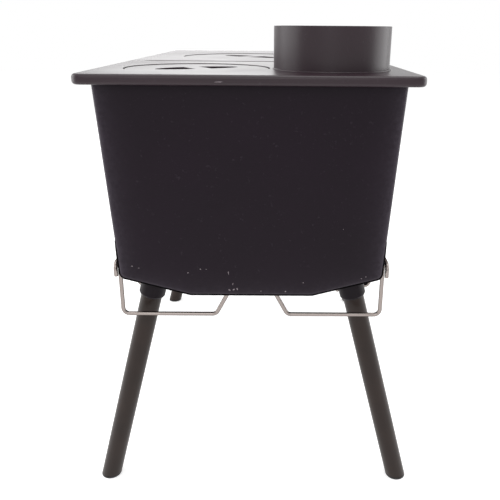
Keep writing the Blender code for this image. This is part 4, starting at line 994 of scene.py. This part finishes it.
def grainy(name, colour, scale, detail, gains, roughness, bump, **constants):
    """A dull finish whose one fine grain makes its relief, its two tones and its least and greatest roughness."""
    tree, place = new_finish(name)
    grain = node(tree, "ShaderNodeTexNoise", {"Vector": place, "Scale": scale, "Detail": detail})
    base = node(tree, "ShaderNodeMix", {
        "Factor": grain.outputs["Fac"], "A": tone(colour, gains[0]), "B": tone(colour, gains[1]),
    }, data_type="RGBA")
    rough = node(tree, "ShaderNodeMapRange", {
        "Value": grain.outputs["Fac"], "To Min": roughness[0], "To Max": roughness[1],
    })
    shade(tree, base.outputs["Result"], rough.outputs["Result"], grain.outputs["Fac"], bump, **constants)


def length_property(name, description, default, least=0.0):
    """A length that the user can set, in metres."""
    return bpy.props.FloatProperty(name=name, description=description, default=default, min=least, unit="LENGTH")


def colour_property(name, description, code):
    """A colour that the user can set, from its sRGB code."""
    return bpy.props.FloatVectorProperty(
        name=name, description=description, default=linear(code), subtype="COLOR", min=0.0, max=1.0)


class StoveSizes(bpy.types.PropertyGroup):
    """Sizes of the detail that the dressed stove adds to its frame."""

    sheet_edge: length_property("Sheet edge", "Rounding of cut sheet edges", 0.0005, 0.0001)
    fitting_edge: length_property("Fitting edge", "Rounding of small flat fittings", 0.0003, 0.0001)
    lid_crown: length_property("Lid crown", "How far a lid's middle stands above its edge", 0.0005)
    panel_crown: length_property("Panel crown", "How far the rear panel's middle stands out", 0.0008)
    weld_width: length_property("Weld width", "Half-width of the weld beads", 0.0013, 0.0003)
    thread_pitch: length_property("Thread pitch", "Rise of the leg's thread in one turn", 0.0018, 0.0005)
    wire_sides: bpy.props.IntProperty(
        name="Wire sides", description="Faces round a rack wire", default=16, min=8, max=32)


class StoveColours(bpy.types.PropertyGroup):
    """Colours of the finishes."""

    paint: colour_property("Paint", "Heat paint on the firebox", "#170d17")
    satin: colour_property("Satin paint", "Heat paint on plate, lids and collar", "#27161f")
    # Colour of the black strip of painted shadow in the rear pan's lower seam
    seam_shadow: colour_property("Seam_shadow", "Stove cement in the rear seam", "#070607")
    primer: colour_property("Primer", "Primer where the paint is chipped", "#94898e")
    # Dust colour, which also paints the highlight along the rear pan's bends
    dust_and_highlight: colour_property("Dust", "Dust and rubbed paint", "#5d5660")
    tube: colour_property("Tube", "Paint on the legs", "#261a15")
    socket: colour_property("Socket", "Paint on the leg sockets and their welds", "#160e15")
    wire: colour_property("Wire", "Stainless rack wire", "#968d89")
    wire_edge: colour_property("Wire edge", "Tint of the wire at grazing angles", "#261b18")
    steel: colour_property("Steel", "Plated latch, slider and pins", "#a9a7a3")
    plastic: colour_property("Plastic", "Foot plugs", "#1d1c1c")
    floor: colour_property("Floor", "Studio floor", "#f7f7f7")


class STOVE_OT_finishes(bpy.types.Operator):
    """Makes the finishes that the pieces take"""

    bl_idname = "stove.finishes"
    bl_label = "Finishes"

    def execute(self, context):
        colours = context.scene.stove_colours
        heat_paint(SPRAYED, colours.paint, colours.dust_and_highlight, 0.42, 0.14)
        heat_paint(SATIN, colours.satin, colours.dust_and_highlight, 0.33, 0.4)
        # Primer and steel bared where the paint is chipped: dry, pale and uneven, its grains drawn at 0.5 mm
        grainy(CHIPPED, colours.primer, 2000.0, 3.0, (0.55, 1.2), (0.5, 0.8), 0.00004)
        # Painted seam shadow, a black strip in the rear pan's lower seam: soot black, dead matt and gritty, its
        # grit of about 0.3 mm drawn at 0.8 mm
        grainy(SEAM_SHADOW, colours.seam_shadow, 1250.0, 3.0, (0.5, 1.5), (0.8, 1.0), 0.0001, Specular_IOR_Level=0.05)
        tube_paint(TUBE, colours.tube, 0.36, 0.25)
        tube_paint(SOCKET, colours.socket, 0.48, 0.14)
        drawn_wire(WIRE, colours.wire, colours.wire_edge, 0.16)
        plated_steel(STEEL, colours.steel, 0.38)
        # Moulded polyethylene: waxy black with the fine spark grain of its tool, drawn at 0.8 mm
        grainy(PLASTIC, colours.plastic, 1250.0, 2.0, (0.8, 1.3), (0.42, 0.58), 0.00005)
        return {"FINISHED"}


class STOVE_OT_top_plate(bpy.types.Operator):
    """Builds the pressed top plate with its rolled rim, three holes and groove"""

    bl_idname = "stove.top_plate"
    bl_label = "Top plate"

    def execute(self, context):
        patches = plate_patches(context.scene.stove_sizes.sheet_edge)
        piece("plate", patches, "stove", SATIN, "top_plate", thickness=PLATE_THICKNESS, inside=(0.0, MIDDLE, 0.0))
        return {"FINISHED"}


class STOVE_OT_lids(bpy.types.Operator):
    """Builds both lids with their pockets, and the seats they lie on"""

    bl_idname = "stove.lids"
    bl_label = "Lids"

    def execute(self, context):
        sizes = context.scene.stove_sizes
        for lid, (centre, hole_radius, pocket, turn) in LIDS.items():
            disc = lid_patches(centre, hole_radius, pocket, turn, sizes.lid_crown)
            piece(f"{lid}_disc", disc, lid, SATIN, lid, thickness=LID_THICKNESS, edge=sizes.sheet_edge,
                  inside=(*centre, 0.0))
            piece(f"{lid}_bowl", [cup_patch(centre, pocket, turn)], lid, SPRAYED, f"{lid}_cup")
            piece(f"{lid}_ledge", [seat_patch(centre, hole_radius)], "stove", SPRAYED, f"{lid}_seat")
        return {"FINISHED"}


class STOVE_OT_flue_collar(bpy.types.Operator):
    """Builds the flue collar and the bead that welds it to the plate"""

    bl_idname = "stove.flue_collar"
    bl_label = "Flue collar"

    def execute(self, context):
        piece("collar", [collar_patch()], "stove", SATIN, "flue_collar")
        ring = circle_path((*COLLAR_CENTRE, TOP + 0.0002), COLLAR_RADIUS + 0.0003, 360)
        weld = bead(ring, (0, 0, 1), 0.75 * context.scene.stove_sizes.weld_width)
        piece("collar_weld", [weld], "stove", SATIN)
        return {"FINISHED"}


class STOVE_OT_firebox(bpy.types.Operator):
    """Builds the folded shell, the plain rear pan, the front pan with its opening, and the grate"""

    bl_idname = "stove.firebox"
    bl_label = "Firebox"

    def execute(self, context):
        sizes = context.scene.stove_sizes
        inside = (0.0, MIDDLE, (CORNER_Z + TOP) / 2)
        piece("shell", [shell_patch()], "stove", SPRAYED, "body_shell", thickness=DRAWN_SHEET,
              edge=SHELL_EDGE, inside=inside)
        rear = [pan_bend(BODY_REAR, 1), rear_face(sizes.panel_crown)]
        # The rear pan's bends get a painted highlight
        paint_bend_highlights(piece("rear_pan", rear, "stove", SPRAYED, "rear_panel", thickness=DRAWN_SHEET, inside=inside))
        front = [pan_bend(BODY_FRONT, -1), front_face()]
        piece("front_pan", front, "stove", SPRAYED, "front_panel", thickness=SHEET, edge=sizes.sheet_edge,
              inside=inside)
        # A black strip of painted shadow along the rear pan's lower seam
        piece("painted_seam_shadow", [seam_shadow_patch()], "stove", SEAM_SHADOW)
        frame_piece("grate", "fire_grate", "stove", SPRAYED)
        return {"FINISHED"}


class STOVE_OT_paint_chips(bpy.types.Operator):
    """Lays the chips in the paint low on the rear panel and on the plate's rim"""

    bl_idname = "stove.paint_chips"
    bl_label = "Paint chips"

    def execute(self, context):
        crown = context.scene.stove_sizes.panel_crown
        chips = [chip_patch(*chip, BODY_REAR + float(face_rise(chip[:2], crown))) for chip in CHIPS]
        piece("paint_chips", [*chips, chip_patch(*RIM_CHIP, REAR_EDGE)], "stove", CHIPPED)
        return {"FINISHED"}


class STOVE_OT_legs(bpy.types.Operator):
    """Builds the four legs with their threads, sockets, welds and foot plugs"""

    bl_idname = "stove.legs"
    bl_label = "Legs"

    def execute(self, context):
        sizes = context.scene.stove_sizes
        welds = []
        for side, across in ((-1, "left"), (1, "right")):
            for end, along in ((-1, "front"), (1, "rear")):
                name = f"{along}_{across}"
                place = leg_frame(side, end)
                leg = leg_patch(place, sizes.thread_pitch)
                piece(f"tube_{name}", [leg], f"leg_{name}", TUBE, f"leg_{name}")
                piece(f"plug_{name}", [plug_patch(place)], f"leg_{name}", PLASTIC, f"leg_plug_{name}")
                piece(f"socket_{name}", [socket_patch(place)], "stove", SOCKET, f"leg_socket_{name}")
                ring = placed(circle_path((0, 0, -0.0008), SOCKET_RADIUS + 0.0002, 120), place)
                welds.append(bead(ring, np.array(place)[:3, 2], 1.25 * sizes.weld_width, 0.0026))
        piece("socket_welds", welds, "stove", SOCKET)
        return {"FINISHED"}


class STOVE_OT_racks(bpy.types.Operator):
    """Builds the folding wire racks with their spot welds"""

    bl_idname = "stove.racks"
    bl_label = "Racks"

    def execute(self, context):
        sides = context.scene.stove_sizes.wire_sides
        front, rear = MIDDLE - RACK_HALF_LENGTH, MIDDLE + RACK_HALF_LENGTH
        tail = RACK_HINGE_Z - RACK_TAIL
        for side, name in ((-1, "left"), (1, "right")):
            body = name + "_rack"
            rod = filleted([
                (side * RACK_HINGE_X, y, z)
                for y, z in ((front, tail), (front, RACK_HINGE_Z), (rear, RACK_HINGE_Z), (rear, tail))
            ], RACK_BEND, 10)
            piece(f"{name}_hinge_wire", [bar(rod, (1, 0, 0), WIRE_RADIUS, sides)], body, WIRE, body + "_hinge_rod")
            piece(f"{name}_grille", rack_grid_patches(side, sides), body, WIRE, body + "_grid")
            for label, y in (("front", front), ("rear", rear)):
                end = bar(rack_path(side, y), (0, 1, 0), WIRE_RADIUS, sides)
                piece(f"{name}_{label}_end_wire", [end], body, WIRE, f"{body}_{label}_wire")
        return {"FINISHED"}


class STOVE_OT_rack_fittings(bpy.types.Operator):
    """Builds the eyes and clips that hold the racks"""

    bl_idname = "stove.rack_fittings"
    bl_label = "Rack fittings"

    def execute(self, context):
        nodes = [name for name in sorted(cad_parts) if "_rack_lug_" in name or "_rack_clip_" in name]
        fittings("stove", SPRAYED, context.scene.stove_sizes.fitting_edge, *nodes)
        return {"FINISHED"}


class STOVE_OT_door(bpy.types.Operator):
    """Builds the door, its lip and its hinges with their rivets"""

    bl_idname = "stove.door"
    bl_label = "Door"

    def execute(self, context):
        edge = context.scene.stove_sizes.fitting_edge
        fittings("door", SPRAYED, edge, "door_panel", "door_lip")
        door_rivets, frame_rivets = [], []
        for hinge in ("upper_hinge", "lower_hinge"):
            fittings("door", SPRAYED, edge, hinge + "_door_leaf")
            fittings("stove", SPRAYED, edge, hinge + "_frame_leaf")
            fittings("stove", STEEL, edge, hinge + "_pin")
            # Two rivets through the door's leaf, and one through the frame's
            low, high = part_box(hinge + "_door_leaf")
            x, z = (low.x + high.x) / 2 + 0.003, (low.z + high.z) / 2
            door_rivets += [rivet((x + step, DOOR_LEAF_Y, z)) for step in (0, 0.008)]
            low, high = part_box(hinge + "_frame_leaf")
            frame_rivets.append(rivet((low.x + 0.0045, FRAME_LEAF_Y, (low.z + high.z) / 2)))
        piece("door_rivets", door_rivets, "door", STEEL)
        piece("frame_rivets", frame_rivets, "stove", STEEL)
        return {"FINISHED"}


class STOVE_OT_air_slider(bpy.types.Operator):
    """Builds the air slider, its knob and its rails"""

    bl_idname = "stove.air_slider"
    bl_label = "Air slider"

    def execute(self, context):
        edge = context.scene.stove_sizes.fitting_edge
        fittings("air_slider", STEEL, edge, "air_slider")
        fittings("door", SPRAYED, edge, "slider_rail_upper", "slider_rail_lower")
        low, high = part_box("slider_knob")
        end = high.y - low.y
        section = filleted([
            (0.0, 0.0), (0.0036, 0.0), (0.0029, 0.35 * end), (0.0052, 0.62 * end), (0.0052, 0.86 * end),
            (0.004, end), (0.0, end),
        ], 0.0012, 6)
        knob = turned_to_door(section, (KNOB_X, high.y, (low.z + high.z) / 2))
        piece("knob", [knob], "air_slider", STEEL, "slider_knob")
        return {"FINISHED"}


class STOVE_OT_latch(bpy.types.Operator):
    """Builds the latch lever with its bolt, rod, coil and keeper"""

    bl_idname = "stove.latch"
    bl_label = "Latch"

    def execute(self, context):
        edge = context.scene.stove_sizes.fitting_edge
        fittings("latch", STEEL, edge, "latch_lever")
        fittings("door", STEEL, edge, "latch_bolt")
        fittings("stove", SPRAYED, edge, "latch_keeper")
        low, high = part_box("latch_rod")
        end = high.y - low.y
        section = filleted([
            (0.0, 0.0), (0.004, 0.0), (0.004, end - 0.004), (0.0072, end - 0.004), (0.0072, end), (0.0, end),
        ], (0, 0, 0.0003, 0.0008, 0.0014, 0), 5)
        piece("grip_rod", [turned_to_door(section, (GRIP_X, high.y, GRIP_Z))], "latch", STEEL, "latch_rod")
        piece("grip_coil", [coil_patch()], "latch", WIRE, "latch_coil")
        return {"FINISHED"}


# Stage: the camera is fitted to the photo, and each lamp has its name, place, diameter and power

LENS, LENS_SHIFT = 41.76, (-0.0535, -0.04646)
EYE = (-0.02089, 0.79338, 0.48686)
EYE_RIGHT = Vector((-0.99996, 0.00348, 0.00823))
EYE_UP = Vector((0.00666, -0.3237, 0.94614))
LAMPS = (
    ("overhead softbox", (0.0, 0.3, 2.4), 2.0, 18.0),
    ("left softbox", (2.1, -0.1, 0.8), 2.2, 26.0),
    ("right softbox", (-2.1, -0.4, 0.8), 2.0, 18.0),
    ("rear softbox", (0.3, 2.6, 1.6), 1.8, 11.0),
    ("door side softbox", (0.3, -2.4, 1.4), 1.6, 10.0),
)
WHITE = (1.0, 1.0, 1.0, 1.0)


def seen_ray(tree):
    """1 for a ray from the camera, off a gloss or through glass, and 0 for light that falls on the object."""
    path = node(tree, "ShaderNodeLightPath")
    gloss = node(tree, "ShaderNodeMath", {
        0: path.outputs["Is Camera Ray"], 1: path.outputs["Is Glossy Ray"],
    }, operation="MAXIMUM")
    return node(tree, "ShaderNodeMath", {
        0: gloss.outputs["Value"], 1: path.outputs["Is Transmission Ray"],
    }, operation="MAXIMUM").outputs["Value"]


def floor_board(tree, colour):
    """Painted board, matt white: camera and reflections see it lifted to pure white, with the shadow kept."""
    board = node(tree, "ShaderNodeBsdfDiffuse", {"Color": tone(colour)})
    lift = node(tree, "ShaderNodeMath", {0: seen_ray(tree), 1: 0.54}, operation="MULTIPLY")
    white = node(tree, "ShaderNodeEmission", {"Color": WHITE, "Strength": lift.outputs["Value"]})
    both = node(tree, "ShaderNodeAddShader", {0: board.outputs["BSDF"], 1: white.outputs["Emission"]})
    node(tree, "ShaderNodeOutputMaterial", {"Surface": both.outputs["Shader"]})


def white_studio(tree):
    """A white world, at full strength for what is seen and at half for the light that it casts."""
    strength = node(tree, "ShaderNodeMapRange", {"Value": seen_ray(tree), "To Min": 0.5, "To Max": 1.0})
    sky = node(tree, "ShaderNodeBackground", {"Color": WHITE, "Strength": strength.outputs["Result"]})
    node(tree, "ShaderNodeOutputWorld", {"Surface": sky.outputs["Background"]})


class STOVE_OT_stage(bpy.types.Operator):
    """Sets the pale floor, the white world, the soft lamps and the camera at the photograph's angle"""

    bl_idname = "stove.stage"
    bl_label = "Stage"

    def execute(self, context):
        scene = context.scene
        scene.view_settings.view_transform = "Standard"

        line = np.linspace(-6.0, 6.0, 7)
        x, y = np.meshgrid(line, line, indexing="ij")
        points, quads = grid(np.stack([x, y, 0 * x - 0.0002], axis=-1))
        mesh = bpy.data.meshes.new("floor")
        mesh.from_pydata(points, [], quads)
        floor = bpy.data.objects.new("floor", mesh)
        scene.collection.objects.link(floor)
        material = bpy.data.materials.new("Painted board, matt white")
        floor_board(empty_tree(material), scene.stove_colours.floor)
        mesh.materials.append(material)

        scene.world = bpy.data.worlds.new("White studio")
        white_studio(empty_tree(scene.world))

        target = Vector((0.0, MIDDLE, 0.25))
        for name, place, size, power in LAMPS:
            light = bpy.data.lights.new(name, "AREA")
            light.shape, light.size, light.energy = "DISK", size, power
            lamp = bpy.data.objects.new(name, light)
            scene.collection.objects.link(lamp)
            aim = (Vector(place) - target).to_track_quat("Z", "Y").to_matrix().to_4x4()
            lamp.matrix_world = Matrix.Translation(place) @ aim

        camera = bpy.data.cameras.new("camera")
        camera.sensor_width, camera.lens = 36.0, LENS
        camera.shift_x, camera.shift_y = LENS_SHIFT
        camera.clip_start, camera.clip_end = 0.01, 50.0
        eye = bpy.data.objects.new("camera", camera)
        scene.collection.objects.link(eye)
        turn = Matrix((EYE_RIGHT, EYE_UP, EYE_RIGHT.cross(EYE_UP))).transposed().to_4x4()
        eye.matrix_world = Matrix.Translation(EYE) @ turn
        scene.camera = eye
        return {"FINISHED"}


OPERATORS = (
    STOVE_OT_finishes, STOVE_OT_top_plate, STOVE_OT_lids, STOVE_OT_flue_collar, STOVE_OT_firebox,
    STOVE_OT_paint_chips, STOVE_OT_legs, STOVE_OT_racks, STOVE_OT_rack_fittings, STOVE_OT_door,
    STOVE_OT_air_slider, STOVE_OT_latch, STOVE_OT_stage,
)


class STOVE_PT_panel(bpy.types.Panel):
    """Lists the stove's sizes, colours and operators"""

    bl_idname = "STOVE_PT_panel"
    bl_label = "Camping wood stove"
    bl_space_type = "VIEW_3D"
    bl_region_type = "UI"
    bl_category = "Stove"

    def draw(self, context):
        for group in (context.scene.stove_sizes, context.scene.stove_colours):
            column = self.layout.column(align=True)
            for name in group.bl_rna.properties.keys():
                if name not in ("rna_type", "name"):
                    column.prop(group, name)
        column = self.layout.column(align=True)
        for operator in OPERATORS:
            column.operator(operator.bl_idname)


CLASSES = (StoveSizes, StoveColours, *OPERATORS, STOVE_PT_panel)


def register():
    for made in CLASSES:
        bpy.utils.register_class(made)
    bpy.types.Scene.stove_sizes = bpy.props.PointerProperty(type=StoveSizes)
    bpy.types.Scene.stove_colours = bpy.props.PointerProperty(type=StoveColours)


def unregister():
    del bpy.types.Scene.stove_colours
    del bpy.types.Scene.stove_sizes
    for made in reversed(CLASSES):
        bpy.utils.unregister_class(made)


def main():
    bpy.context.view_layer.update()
    register()
    for operator in OPERATORS:
        group, name = operator.bl_idname.split(".")
        getattr(getattr(bpy.ops, group), name)()


if __name__ == "__main__":
    main()
